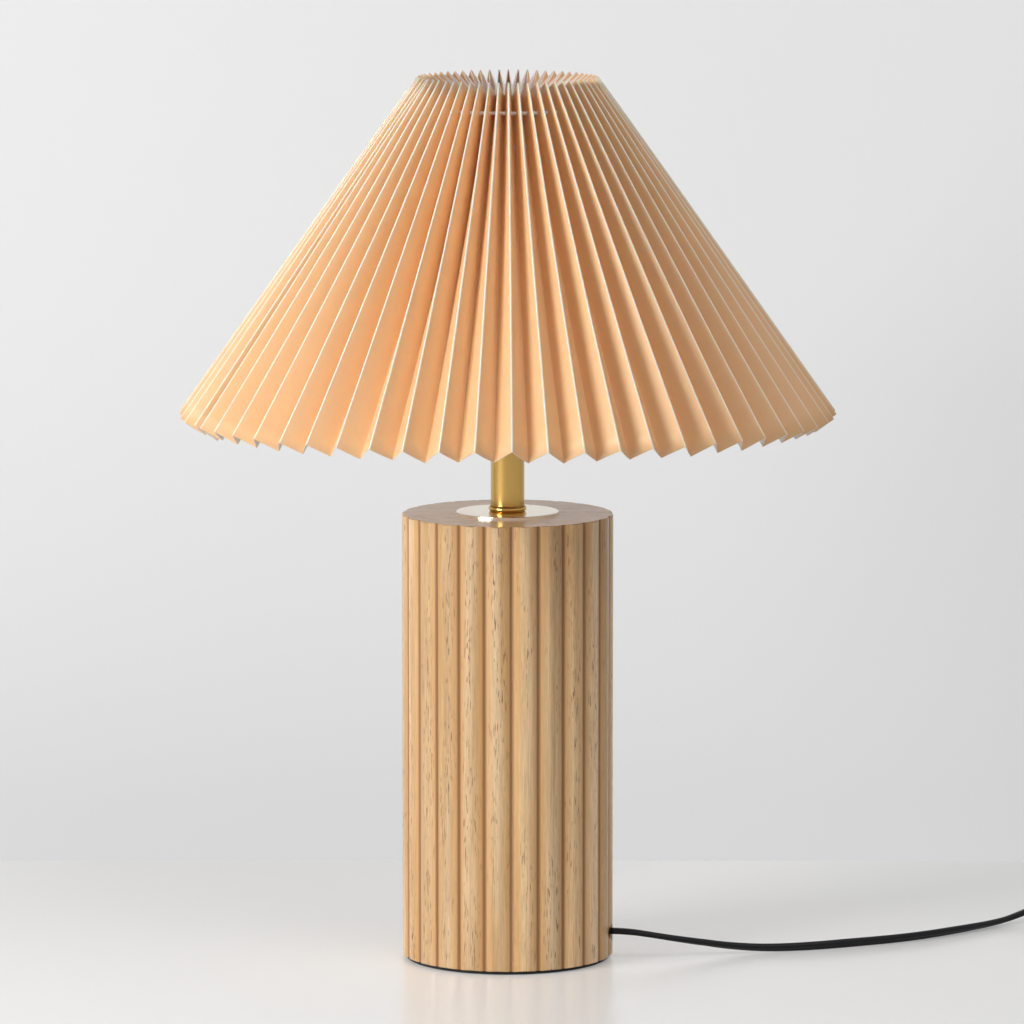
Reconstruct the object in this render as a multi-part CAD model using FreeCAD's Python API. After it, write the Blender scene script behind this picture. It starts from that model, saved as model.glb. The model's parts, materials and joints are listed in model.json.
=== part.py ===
"""Table lamp with a pleated paper shade on a reeded wooden column.

Millimetres. The origin is on the table, under the axis of the column; +Z is up, -Y is the front.
Angles round the lamp are measured from the front, positive towards +X.
"""

import FreeCAD, Part
import math
import os

# ---------------------------------------------------------------- driving dimensions

# Column of wood
column_height = 238.0
crest_radius = 56.6
reed_count = 24
reed_depth = 1.8
groove_at = 2.3
column_edge = 0.9
recess_radius = 26.0
recess_depth = 40.0
pad_thickness = 1.8
pad_inset = 2.2
pad_edge = 0.5

# Clamping pipe with its nuts
pipe_radius = 5.0
pipe_bore_radius = 4.0
pipe_clearance = 0.2
thread_gap = 0.04
washer_radius = 15.0
washer_thickness = 2.0
nut_across_flats = 14.0
bottom_nut_height = 5.0
lock_nut_height = 3.0
pipe_below_nut = 2.0
pipe_edge = 0.5

# Brass neck
plate_radius = 27.4
plate_thickness = 1.3
plate_edge = 0.3
tube_radius = 9.0
tube_wall = 1.0
tube_length = 48.0
collar_overhang = 1.1
collar_bulge = 0.9
collar_height = 3.2
collar_lip = 1.0
cap_thickness = 2.0
cap_spigot = 3.0
cap_edge = 0.6

# Lampholder
holder_radius = 19.6
holder_wall = 2.4
holder_base_height = 29.0
holder_skirt_height = 32.0
holder_flange = 2.9
holder_flange_height = 2.5
holder_entry = 9.0
holder_entry_wall = 4.5
holder_entry_rim = 6.0
holder_shoulder = 19.0
skirt_thread_pitch = 2.6
skirt_thread_depth = 0.6
skirt_thread_flank = 0.7
skirt_thread_crest = 0.3
skirt_edge = 1.2
skirt_lip = 1.5
insert_thickness = 7.0
insert_gap = 0.2
insert_ledge = 1.6
insert_bore = 1.6
insert_core_bore = 1.3
insert_rim_height = 6.0
insert_rim_wall = 1.6
insert_rim_gap = 0.15
shell_gap = 0.3
shell_wall = 0.35
shell_height = 23.0
shell_plain = 1.2
shell_foot = 0.5
shell_foot_radius = 8.0
contact_rise = 2.7
contact_width = 4.0
contact_sheet = 0.5
rivet_radius = 1.5
rivet_height = 0.6
pipe_in_holder = 9.0
terminal_offset = 8.0
terminal_height = 8.0
terminal_width = 5.0
terminal_screw_height = 4.5
terminal_screw_radius = 1.5
core_hole_depth = 4.0

# Heads of the small screws
screw_head_radius = 2.3
screw_head_height = 1.4
screw_slot = 0.6
screw_slot_depth = 0.5

# Carrier of the shade
hub_width = 5.6
hub_thickness = 2.0
hub_gap = 0.1
ring_nut_height = 8.0
ring_nut_inset = 0.4
ring_nut_foot_edge = 0.5
ring_nut_top_edge = 0.8
ring_nut_grips = 12
grip_radius = 1.6
grip_centre_out = 0.7
carrier_wire = 3.0
carrier_arms = 3
carrier_arm_at = 25.0
carrier_weld = 1.2
carrier_knee_radius = 37.0
carrier_bend = 9.0
ring_below_top = 34.0

# Pleated shade
rim_radius = 175.0
neck_radius = 48.4
rim_above_column = 54.2
shade_height = 179.6
pleat_count = 59
panel_width = 14.2
paper = 0.4
seam_at = -67.0
seam_gap = 2.8
thread_radius = 0.55
thread_below_top = 15.0
thread_depth_share = 0.62
thread_hole_gap = 0.15
ring_gap = 0.3
notch_depth = 1.0

# Bulb
bulb_length = 110.0
globe_radius = 30.0
globe_wall = 1.0
screw_cap_radius = 13.0
screw_cap_height = 18.0
screw_cap_wall = 0.4
screw_pitch = 3.629
screw_depth = 0.8
tip_radius = 4.6
tip_height = 2.4
tip_dome = 1.4
tip_gap = 0.3
insulator_height = 3.6
insulator_lip = 0.8
insulator_spigot = 2.0
cap_foot = 1.6
cap_foot_rise = 0.6
cap_foot_wall = 0.5
housing_wall = 1.6
housing_spigot_wall = 1.2
housing_spigot_below = 14.0
housing_collar = 3.0
housing_collar_lip = 0.2
housing_below_centre = 9.0
housing_slack = 0.4
board_thickness = 1.6
board_below_rim = 0.6
board_inset = 3.2
board_ledge = 1.8
led_count = 10
led_side = 2.8
led_height = 0.7
led_inset = 10.9

# Cord
cord_width = 5.4
cord_thickness = 3.2
core_radius = 1.15
cord_hole_radius = 3.5
cord_hole_height = 14.0
cord_hole_at = 81.7
cord_hole_flare = 1.4
cord_in_hole = 0.8
cord_bend = 14.0
lead_rise = 2.0
core_spacing = 2.7
core_slack = 0.1
stop_length = 8.0
stop_width = 12.0
stop_height = 10.0
stop_edge = 1.2
stop_from_wood = 1.0
stop_slack = 0.1

# Coil of the cord, put away
coil_centre = (372.0, 24.0)
coil_radius = 37.4
coil_turns_per_layer = 3
coil_pitch = 3.8
layer_pitch = 5.9
tie_thickness = 0.8
tie_width = 8.0
tie_clearance = 0.45
coil_lift = 1.0
tie_corner = 1.6
tie_angles = (95.0, 215.0)

# In-line switch
switch_place = (308.0, 113.0)
switch_turn = 34.0
switch_length = 72.0
switch_width = 26.0
switch_height = 16.0
switch_nose = 9.0
switch_wall = 1.8
switch_corner = 5.0
switch_screw_radius = 1.3
switch_screw_slack = 0.1
switch_screw_inset = 5.0
switch_post_radius = 2.9
switch_post_height = 4.5
switch_head_hole_radius = 2.5
switch_head_hole_depth = 1.9
switch_head_depth = 0.5
rocker_length = 19.0
rocker_width = 10.0
rocker_rise = 2.2
rocker_dip = 1.3
rocker_edge = 0.5
rocker_gap = 0.5
rocker_swing_room = 1.1
rocker_tilt = 8.0
rocker_pin_radius = 1.0
rocker_pin_gap = 0.06
rocker_pin_depth = 4.2
rocker_belly = 0.6
rocker_boss = 2.6
rocker_boss_foot = 3.2
ear_length = 5.0
ear_thickness = 2.0
ear_rise = 3.0
pin_in_ear = 1.5
contact_offset = 7.0
contact_foot = 6.0
contact_blade_width = 5.0
contact_blade = 0.8

# Plug
plug_place = (405.7, -46.0)
plug_turn = -97.0
plug_sleeve_length = 30.0
plug_sleeve_wall = 0.9
plug_sleeve_wide = 5.4
plug_sleeve_ribs = 6
plug_groove_depth = 0.7
plug_groove_width = 1.2
plug_groove_flank = 0.3
plug_rib_lip = 0.1
plug_body_length = 34.0
plug_width = 35.3
plug_thickness = 13.7
plug_corner = 5.0
plug_pin_spacing = 19.0
plug_pin_radius = 2.0
plug_pin_length = 9.0
plug_pin_dome = 1.5
plug_pin_sleeve = 10.0
plug_pin_sleeve_radius = 1.75
plug_pin_core_radius = 1.5
plug_pin_root = 8.0
plug_sleeve_root = 2.0

# Points of the free cord, chosen by hand: from the hole to the switch, on to the coil, on to the plug
route_to_switch = [
    (55.6, -8.1, 14.8),
    (64.5, -9.4, 14.8),
    (76.5, -9.3, 13.0),
    (90.0, -6.2, 10.2),
    (105.0, -1.3, 7.2),
    (121.5, 4.4, 4.4),
    (141.0, 8.5, 2.7),
    (164.0, 12.5, 2.7),
    (190.0, 23.5, 2.7),
    (219.0, 38.0, 2.7),
    (247.0, 61.0, 2.7),
    (270.0, 84.5, 2.7),
    (283.4, 96.0, 5.0),
    (296.4, 105.2, 8.0),
    (308.0, 113.0, 8.0),
]
route_to_coil = [
    (367.7, 153.3, 8.0),
    (379.3, 161.1, 8.0),
    (394.0, 164.2, 5.6),
    (409.3, 161.5, 3.4),
    (422.3, 153.1, 2.7),
    (431.2, 139.8, 2.7),
    (434.7, 123.2, 2.7),
    (431.5, 105.0, 2.7),
    (424.4, 87.4, 2.7),
    (415.8, 71.0, 2.8),
    (410.8, 56.5, 3.2),
    (409.4, 43.0, 3.7),
    (409.4, 29.4, 3.7),
]
route_to_plug = [
    (409.4, 18.6, 9.6),
    (409.4, 1.2, 9.6),
    (408.9, -16.4, 8.4),
    (407.4, -32.1, 6.85),
    (405.7, -46.0, 6.85),
]

# ---------------------------------------------------------------- heights that follow from them

column_base = pad_thickness
column_top = column_base + column_height
recess_top = column_base + recess_depth
plate_top = column_top + plate_thickness
tube_base = plate_top + collar_lip
tube_top = tube_base + tube_length
cap_top = tube_top + cap_thickness
holder_base = cap_top + lock_nut_height
holder_split = holder_base + holder_base_height
holder_top = holder_split + holder_skirt_height
hub_base = holder_split + holder_flange_height
hub_top = hub_base + hub_thickness
insert_top = holder_split + insert_thickness
shell_base = insert_top
tip_base = insert_top + contact_rise + tip_gap
cap_base = tip_base + tip_height + insulator_height
cap_end = cap_base + screw_cap_height
bulb_top = tip_base + bulb_length
globe_centre = bulb_top - globe_radius
rim_height = column_top + rim_above_column
shade_top = rim_height + shade_height
pipe_base = recess_top - washer_thickness - bottom_nut_height - pipe_below_nut
pipe_top = holder_base + pipe_in_holder


# ---------------------------------------------------------------- helpers


def vec(x, y, z):
    return FreeCAD.Vector(x, y, z)


def polar(angle, radius, z):
    """A point round the lamp: angle in degrees from the front, positive towards +X."""
    a = math.radians(angle)
    return vec(radius * math.sin(a), -radius * math.cos(a), z)


def save(name, shape):
    """Write one node, after a check that it is made of valid closed solids."""
    solids = shape.Solids
    good = bool(solids) and all(s.isValid() and s.Volume > 0 for s in solids)
    print(f"{name:22s} solids {len(solids):3d} volume {shape.Volume:12.2f} valid {good}")
    if not good:
        raise ValueError(f"{name} is not a valid solid")
    out = solids[0] if len(solids) == 1 else Part.makeCompound(solids)
    out.exportStep(f"parts/{name}.step")


def lathe(points):
    """Solid of revolution about Z of a closed outline of (radius, height) points.

    A point given as ("arc", r, z) is the middle of an arc between its neighbours.
    """
    edges = []
    count = len(points)
    place = [vec(p[-2], 0, p[-1]) for p in points]
    for i, point in enumerate(points):
        after = (i + 1) % count
        if point[0] == "arc":
            continue
        if points[after][0] == "arc":
            end = place[(i + 2) % count]
            edges.append(Part.Arc(place[i], place[after], end).toShape())
        elif place[i].distanceToPoint(place[after]) > 1e-9:
            edges.append(Part.LineSegment(place[i], place[after]).toShape())
    face = Part.Face(Part.Wire(edges))
    solid = face.revolve(vec(0, 0, 0), vec(0, 0, 1), 360)
    return solid if solid.Volume > 0 else solid.reversed()


def disc(radius, height, z):
    return Part.makeCylinder(radius, height, vec(0, 0, z))


def ring(outer, inner, height, z):
    return disc(outer, height, z).cut(disc(inner, height, z))


def dome_middle(radius, height):
    """The middle of a dome's outline: its radius, and its depth below the top of the dome."""
    ball = (radius**2 + height**2) / (2 * height)
    half = math.asin(radius / ball) / 2
    return ball * math.sin(half), ball * (1 - math.cos(half))


def hexagon(across_flats, bore, height, z, edge=0.6):
    """A hexagonal nut with turned corners at both ends."""
    corner = across_flats / math.sqrt(3)
    points = [polar(30 + 60 * k, corner, z) for k in range(7)]
    prism = Part.Face(Part.makePolygon(points)).extrude(vec(0, 0, height))
    turned = lathe(
        [
            (0, z),
            (corner - edge, z),
            (corner, z + edge),
            (corner, z + height - edge),
            (corner - edge, z + height),
            (0, z + height),
        ]
    )
    return prism.common(turned).cut(disc(bore, height, z))


def bent_path(points, bend=None):
    """Straight runs joined by tangent arcs, as one wire, and the radii of its arcs.

    Without a bend the radius of each arc is 0.45 of its shorter run, over the tangent of half the turn.
    """
    place = [vec(*p) for p in points]
    edges = []
    radii = []
    here = place[0]
    for before, corner, after in zip(place, place[1:], place[2:]):
        run_in = corner - before
        run_out = after - corner
        turn = run_in.getAngle(run_out)
        shorter = min(run_in.Length, run_out.Length)
        radius = bend or 0.45 * shorter / math.tan(turn / 2)
        radii.append(radius)
        into = FreeCAD.Vector(run_in).normalize()
        out_of = FreeCAD.Vector(run_out).normalize()
        back = radius * math.tan(turn / 2)
        arc_start = corner - into * back
        arc_end = corner + out_of * back
        inward = (out_of - into).normalize()
        middle = corner + inward * (radius / math.cos(turn / 2) - radius)
        edges.append(Part.LineSegment(here, arc_start).toShape())
        edges.append(Part.Arc(arc_start, middle, arc_end).toShape())
        here = arc_end
    edges.append(Part.LineSegment(here, place[-1]).toShape())
    return Part.Wire(edges), radii


def tube_along(path, radius):
    """A round solid along a path that starts with a straight run."""
    first = path.Edges[0]
    start = first.valueAt(first.FirstParameter)
    direction = first.tangentAt(first.FirstParameter)
    section = Part.Wire(Part.makeCircle(radius, start, direction))
    solid = path.makePipeShell([section], True, False)
    return solid if solid.Volume > 0 else solid.reversed()


def flat_section(start, across, thick_way, width, thickness):
    """The outline of the flat cord, a rectangle with half-round ends."""
    straight = across * ((width - thickness) / 2)
    half = thick_way * (thickness / 2)
    end = across * (width / 2)
    corners = [
        start + straight + half,
        start + straight - half,
        start - straight - half,
        start - straight + half,
    ]
    edges = [
        Part.Arc(corners[0], start + end, corners[1]).toShape(),
        Part.LineSegment(corners[1], corners[2]).toShape(),
        Part.Arc(corners[2], start - end, corners[3]).toShape(),
        Part.LineSegment(corners[3], corners[0]).toShape(),
    ]
    return Part.Wire(edges)


def rounded_outline(x, width, height, z_low, corner):
    """A rounded rectangle across the X axis, centred on it sideways and standing on z_low."""
    half = width / 2
    top = z_low + height
    r = min(corner, half * 0.98, height * 0.49)
    k = r * (1 - math.sqrt(0.5))
    corners = [
        ((half - r, z_low), (half - k, z_low + k), (half, z_low + r)),
        ((half, top - r), (half - k, top - k), (half - r, top)),
        ((r - half, top), (k - half, top - k), (-half, top - r)),
        ((-half, z_low + r), (k - half, z_low + k), (r - half, z_low)),
    ]
    edges = []
    for index, (start, middle, end) in enumerate(corners):
        a, b, c = (vec(x, *p) for p in (start, middle, end))
        following = vec(x, *corners[(index + 1) % 4][0])
        edges.append(Part.Arc(a, b, c).toShape())
        edges.append(Part.LineSegment(c, following).toShape())
    return Part.Wire(edges)


def placed(shape, place, turn):
    """A shape made along +X from its own origin, turned about Z and moved to its place on the table."""
    out = shape.copy()
    out.rotate(vec(0, 0, 0), vec(0, 0, 1), turn)
    out.translate(vec(place[0], place[1], 0))
    return out


# ---------------------------------------------------------------- column and what clamps it


def fluted_column():
    groove_radius = crest_radius - reed_depth
    pitch = 360 / reed_count
    edges = []
    for k in range(reed_count):
        at = groove_at + k * pitch
        start = polar(at, groove_radius, column_base)
        crest = polar(at + pitch / 2, crest_radius, column_base)
        end = polar(at + pitch, groove_radius, column_base)
        edges.append(Part.Arc(start, crest, end).toShape())
    reeds = Part.Face(Part.Wire(edges)).extrude(vec(0, 0, column_height))
    turned = lathe(
        [
            (0, column_base),
            (crest_radius - column_edge, column_base),
            ("arc", crest_radius - column_edge * 0.3, column_base + column_edge * 0.3),
            (crest_radius, column_base + column_edge),
            (crest_radius + 1, column_base + column_edge),
            (crest_radius + 1, column_top - column_edge),
            (crest_radius, column_top - column_edge),
            ("arc", crest_radius - column_edge * 0.3, column_top - column_edge * 0.3),
            (crest_radius - column_edge, column_top),
            (0, column_top),
        ]
    )
    column = reeds.common(turned)
    column = column.cut(disc(pipe_radius + pipe_clearance, column_height, column_base))
    column = column.cut(disc(recess_radius, recess_depth, column_base))
    way = polar(cord_hole_at, 1, 0)
    hole = Part.makeCylinder(cord_hole_radius, crest_radius, vec(0, 0, cord_hole_height), way)
    mouth = way * (crest_radius + 0.1 - cord_hole_flare) + vec(0, 0, cord_hole_height)
    flare = Part.makeCone(
        cord_hole_radius, cord_hole_radius + cord_hole_flare, cord_hole_flare, mouth, way
    )
    return column.cut(hole).cut(flare)


def base_pad():
    radius = crest_radius - pad_inset
    return lathe(
        [
            (0, 0),
            (radius - pad_edge, 0),
            ("arc", radius - pad_edge * 0.3, pad_edge * 0.3),
            (radius, pad_edge),
            (radius, pad_thickness),
            (0, pad_thickness),
        ]
    )


def threaded_pipe():
    return lathe(
        [
            (pipe_bore_radius, pipe_base),
            (pipe_radius - pipe_edge, pipe_base),
            (pipe_radius, pipe_base + pipe_edge),
            (pipe_radius, pipe_top - pipe_edge),
            (pipe_radius - pipe_edge, pipe_top),
            (pipe_bore_radius, pipe_top),
        ]
    )


def bottom_washer():
    return ring(washer_radius, pipe_radius + pipe_clearance, washer_thickness, recess_top - washer_thickness)


def bottom_nut():
    z = recess_top - washer_thickness - bottom_nut_height
    return hexagon(nut_across_flats, pipe_radius + thread_gap, bottom_nut_height, z)


# ---------------------------------------------------------------- brass neck


def top_plate():
    inner = pipe_radius + pipe_clearance
    return lathe(
        [
            (inner, column_top),
            (plate_radius, column_top),
            (plate_radius, plate_top - plate_edge),
            ("arc", plate_radius - plate_edge * 0.3, plate_top - plate_edge * 0.3),
            (plate_radius - plate_edge, plate_top),
            (inner, plate_top),
        ]
    )


def neck_collar():
    """Bead round the foot of the tube, with a lip inside that the tube stands on."""
    collar_radius = tube_radius + collar_overhang
    top = plate_top + collar_height
    middle = (plate_top + top) / 2
    seat = tube_radius + thread_gap
    return lathe(
        [
            (pipe_radius + pipe_clearance, plate_top),
            (collar_radius - collar_bulge, plate_top),
            ("arc", collar_radius, middle),
            (collar_radius - collar_bulge, top),
            (seat, top),
            (seat, tube_base),
            (pipe_radius + pipe_clearance, tube_base),
        ]
    )


def neck_tube():
    return ring(tube_radius, tube_radius - tube_wall, tube_length, tube_base)


def neck_cap():
    spigot = tube_radius - tube_wall - thread_gap
    inner = pipe_radius + pipe_clearance
    return lathe(
        [
            (inner, tube_top - cap_spigot),
            (spigot, tube_top - cap_spigot),
            (spigot, tube_top),
            (tube_radius, tube_top),
            (tube_radius, cap_top - cap_edge),
            ("arc", tube_radius - cap_edge * 0.3, cap_top - cap_edge * 0.3),
            (tube_radius - cap_edge, cap_top),
            (inner, cap_top),
        ]
    )


def lock_nut():
    return hexagon(nut_across_flats, pipe_radius + thread_gap, lock_nut_height, cap_top, 0.4)


# ---------------------------------------------------------------- lampholder

holder_inside = holder_radius - holder_wall
insert_radius = holder_inside - insert_gap
shell_crest = screw_cap_radius + shell_gap
shell_root = shell_crest + screw_depth
lead_top = pipe_top + lead_rise
terminal_base = holder_split - terminal_height


def holder_lower():
    """Lower half of the lampholder: threaded entry below, cavity for the terminals above."""
    shoulder = holder_base + holder_shoulder
    entry = pipe_radius + holder_entry_wall
    entry_rim = holder_base + holder_entry_rim
    floor = holder_base + holder_entry
    cavity = insert_radius - insert_ledge
    round_out = 0.64
    round_up = 0.34
    return lathe(
        [
            (pipe_radius + thread_gap, holder_base),
            (entry, holder_base),
            (entry, entry_rim),
            (
                "arc",
                entry + (holder_radius - entry) * round_out,
                entry_rim + (shoulder - entry_rim) * round_up,
            ),
            (holder_radius, shoulder),
            (holder_radius, holder_split),
            (cavity, holder_split),
            (cavity, shoulder + 1.0),
            ("arc", holder_radius - 6.9, entry_rim + (shoulder - entry_rim) * 0.49),
            (entry - 1.5, floor),
            (pipe_radius + thread_gap, floor),
        ]
    )


def holder_skirt():
    """Upper half, with the outer thread's crests as rings and a lip over the insert."""
    flange = holder_radius + holder_flange
    root = holder_radius - skirt_thread_depth
    lip = shell_root + shell_wall + insert_rim_gap * 2
    outline = [
        (holder_inside, holder_split),
        (flange, holder_split),
        (flange, hub_base),
        (holder_radius, hub_base),
    ]
    z = hub_top + ring_nut_height + skirt_edge
    while z + skirt_thread_pitch < holder_top - skirt_edge:
        crest = z + skirt_thread_pitch - skirt_thread_crest
        outline.append((holder_radius, z))
        outline.append((root, z + skirt_thread_flank))
        outline.append((root, crest - skirt_thread_flank))
        outline.append((holder_radius, crest))
        z += skirt_thread_pitch
    outline += [
        (holder_radius, holder_top - skirt_edge),
        ("arc", holder_radius - skirt_edge * 0.3, holder_top - skirt_edge * 0.3),
        (holder_radius - skirt_edge, holder_top),
        (lip, holder_top),
        (lip, holder_top - skirt_lip),
        (holder_inside, holder_top - skirt_lip),
    ]
    return lathe(outline)


def holder_insert():
    """Ceramic core that carries the screw shell and the contacts."""
    rim_inside = shell_root + shell_wall + insert_rim_gap
    rim_outside = rim_inside + insert_rim_wall
    core = lathe(
        [
            (insert_bore, holder_split),
            (insert_radius, holder_split),
            (insert_radius, insert_top),
            (rim_outside, insert_top),
            (rim_outside, insert_top + insert_rim_height),
            (rim_inside, insert_top + insert_rim_height),
            (rim_inside, insert_top),
            (insert_bore, insert_top),
        ]
    )
    for side in (-1, 1):
        place = vec(side * terminal_offset, 0, holder_split)
        core = core.cut(Part.makeCylinder(insert_core_bore, insert_thickness, place))
    return core


def screw_shell():
    """Brass shell with the rounded thread drawn as rings, open at its foot round the centre contact."""
    shell_outside = shell_root + shell_wall
    foot_top = shell_base + shell_foot
    top = shell_base + shell_height
    z = shell_base + shell_plain
    outer = [(shell_outside, shell_base), (shell_outside, z)]
    inner = [(shell_root, foot_top), (shell_root, z)]
    while z + screw_pitch < top:
        middle = z + screw_pitch / 2
        z += screw_pitch
        outer += [("arc", shell_crest + shell_wall, middle), (shell_outside, z)]
        inner += [("arc", shell_crest, middle), (shell_root, z)]
    outer.append((shell_outside, top))
    inner.append((shell_root, top))
    foot = [(shell_foot_radius, foot_top), (shell_foot_radius, shell_base)]
    return lathe(outer + inner[::-1] + foot)


def centre_contact():
    """Spring tongue under the bulb's tip: a riveted foot and a raised, bent blade."""
    top = insert_top + contact_rise
    heel = -7.0
    bend = -2.9
    crook = -0.6
    tip = 2.0
    corners = [
        (heel, insert_top),
        (bend, insert_top),
        (crook, top - contact_sheet),
        (tip, top - contact_sheet),
        (tip, top),
        (crook - 0.3, top),
        (bend - 0.4, insert_top + contact_sheet),
        (heel, insert_top + contact_sheet),
    ]
    points = [vec(x, -contact_width / 2, z) for x, z in corners]
    blade = Part.Face(Part.makePolygon(points + points[:1])).extrude(vec(0, contact_width, 0))
    rivet_foot = vec((heel + bend) / 2, 0, insert_top + contact_sheet)
    rivet = Part.makeCylinder(rivet_radius, rivet_height, rivet_foot)
    return blade.fuse(rivet).removeSplitter()


def terminals():
    """Two brass blocks under the insert, each with a hole for a core and one for its screw."""
    blocks = []
    for side in (-1, 1):
        x = side * terminal_offset
        corner = vec(x - terminal_width / 2, -terminal_width / 2, terminal_base)
        block = Part.makeBox(terminal_width, terminal_width, terminal_height, corner)
        start = vec(x, 0, terminal_base + terminal_screw_height)
        bore = Part.makeCylinder(terminal_screw_radius + thread_gap, terminal_width, start, vec(side, 0, 0))
        core_hole = Part.makeCylinder(core_radius + core_slack, core_hole_depth, vec(x, 0, terminal_base))
        blocks.append(block.cut(bore).cut(core_hole))
    return Part.makeCompound(blocks)


def terminal_screws():
    screws = []
    z = terminal_base + terminal_screw_height
    face = terminal_offset + terminal_width / 2
    shank_length = terminal_width / 2 - screw_slot / 2
    for side in (-1, 1):
        way = vec(side, 0, 0)
        shank = Part.makeCylinder(
            terminal_screw_radius, shank_length, vec(side * (face - shank_length), 0, z), way
        )
        head = Part.makeCylinder(screw_head_radius, screw_head_height, vec(side * face, 0, z), way)
        slot_centre = side * (face + screw_head_height)
        slot_corner = vec(slot_centre - screw_slot_depth, -screw_head_radius, z - screw_slot / 2)
        slot = Part.makeBox(2 * screw_slot_depth, 2 * screw_head_radius, screw_slot, slot_corner)
        screws.append(shank.fuse(head).cut(slot).removeSplitter())
    return Part.makeCompound(screws)


# ---------------------------------------------------------------- geometry of the folds

slope = math.atan2(rim_radius - neck_radius, shade_height)
fold_step = (360 - seam_gap) / (pleat_count - 1)


def ridge_angles():
    """Angles of the outer folds: even steps, and one narrow step at the glued seam."""
    return [seam_at + k * fold_step for k in range(pleat_count)]


def fold_depth(radius, half_step):
    """Depth of a fold, square to the slope, that gives the panels their width at this radius."""
    low = 0.0
    high = panel_width
    for _ in range(60):
        depth = (low + high) / 2
        inner = radius - depth * math.cos(slope)
        along = inner * math.cos(half_step) - radius
        side = inner * math.sin(half_step)
        width = math.sqrt(along**2 + side**2 + (depth * math.sin(slope)) ** 2)
        if width < panel_width:
            low = depth
        else:
            high = depth
    return (low + high) / 2


def inner_fold(radius, z, half_step):
    """Radius and height of the inner fold that belongs to a ridge point."""
    depth = fold_depth(radius, half_step)
    return radius - depth * math.cos(slope), z - depth * math.sin(slope)


def fold_line_at(z):
    """Radius of the ordinary inner fold at a height."""
    half = math.radians(fold_step / 2)
    low_r, low_z = inner_fold(rim_radius, rim_height, half)
    top_r, top_z = inner_fold(neck_radius, shade_top, half)
    return low_r + (top_r - low_r) * (z - low_z) / (top_z - low_z)


ring_height = shade_top - ring_below_top
ring_radius = fold_line_at(ring_height) - (carrier_wire / 2 + paper / 2 - notch_depth) / math.cos(slope)


# ---------------------------------------------------------------- shade and its carrier


def shade_ring_nut():
    """Nut with finger grips that clamps the carrier's hub on the flange of the lampholder."""
    inner = holder_radius + hub_gap
    outer = holder_radius + hub_width - ring_nut_inset
    nut_top = hub_top + ring_nut_height
    nut = lathe(
        [
            (inner, hub_top),
            (outer - ring_nut_foot_edge, hub_top),
            (outer, hub_top + ring_nut_foot_edge),
            (outer, nut_top - ring_nut_top_edge),
            (outer - ring_nut_top_edge, nut_top),
            (inner, nut_top),
        ]
    )
    for k in range(ring_nut_grips):
        place = polar(360 * k / ring_nut_grips, outer + grip_centre_out, hub_top)
        nut = nut.cut(Part.makeCylinder(grip_radius, ring_nut_height, place))
    return nut


def shade_carrier():
    """Hub ring, bent arms and the ring under the folds, welded into one piece."""
    wire = carrier_wire / 2
    hub_outer = holder_radius + hub_width
    frame = ring(hub_outer, holder_radius + hub_gap, hub_thickness, hub_base)
    frame = frame.fuse(Part.makeTorus(ring_radius, wire, vec(0, 0, ring_height)))
    start_height = hub_top - wire
    for k in range(carrier_arms):
        at = carrier_arm_at + 360 * k / carrier_arms
        points = [
            polar(at, hub_outer - carrier_weld, start_height),
            polar(at, carrier_knee_radius, start_height),
            polar(at, ring_radius, ring_height),
        ]
        path, _ = bent_path([(p.x, p.y, p.z) for p in points], carrier_bend)
        frame = frame.fuse(tube_along(path, wire))
    return frame.removeSplitter()


def shade_sections():
    """Corners of the paper at the rim and at the neck, fold by fold.

    Each ridge has two corners outside and one inside, each inner fold one outside and two inside,
    because the paper keeps its thickness round the fold.
    """
    ridges = ridge_angles()
    sections = []
    for radius, z in ((rim_radius, rim_height), (neck_radius, shade_top)):
        folds = []
        for k, at in enumerate(ridges):
            step = seam_gap if k == pleat_count - 1 else fold_step
            half = math.radians(step / 2)
            depth = fold_depth(radius, half)
            inner_r = radius - depth * math.cos(slope)
            inner_z = z - depth * math.sin(slope)
            folds.append((at, radius, z))
            folds.append((at + step / 2, inner_r, inner_z))
        corners = []
        count = len(folds)
        for i, (at, r, height) in enumerate(folds):
            here = polar(at, r, height)
            before = polar(*folds[i - 1])
            after = polar(*folds[(i + 1) % count])
            outward = polar(at, math.cos(slope), 0) + vec(0, 0, math.sin(slope))
            along = polar(at, -math.sin(slope), 0) + vec(0, 0, math.cos(slope))
            normals = []
            opening = []
            for way in (here - before, after - here):
                normal = way.cross(along).normalize()
                normals.append(normal if normal.dot(outward) > 0 else normal * -1)
                opening.append(abs(FreeCAD.Vector(way).normalize().dot(outward)))
            half_paper = paper / 2
            miter = half_paper / math.sqrt(max(1e-6, 1 - (sum(opening) / 2) ** 2))
            if i % 2 == 0:
                outside = [here + normals[0] * half_paper, here + normals[1] * half_paper]
                inside = [here - outward * miter]
            else:
                outside = [here + outward * miter]
                inside = [here - normals[0] * half_paper, here - normals[1] * half_paper]
            corners.append((outside, inside))
        sections.append(corners)
    return sections


def triangle(a, b, c):
    return Part.Face(Part.makePolygon([a, b, c, a]))


def quad(a, b, c, d):
    return [triangle(a, b, c), triangle(a, c, d)]


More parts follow.
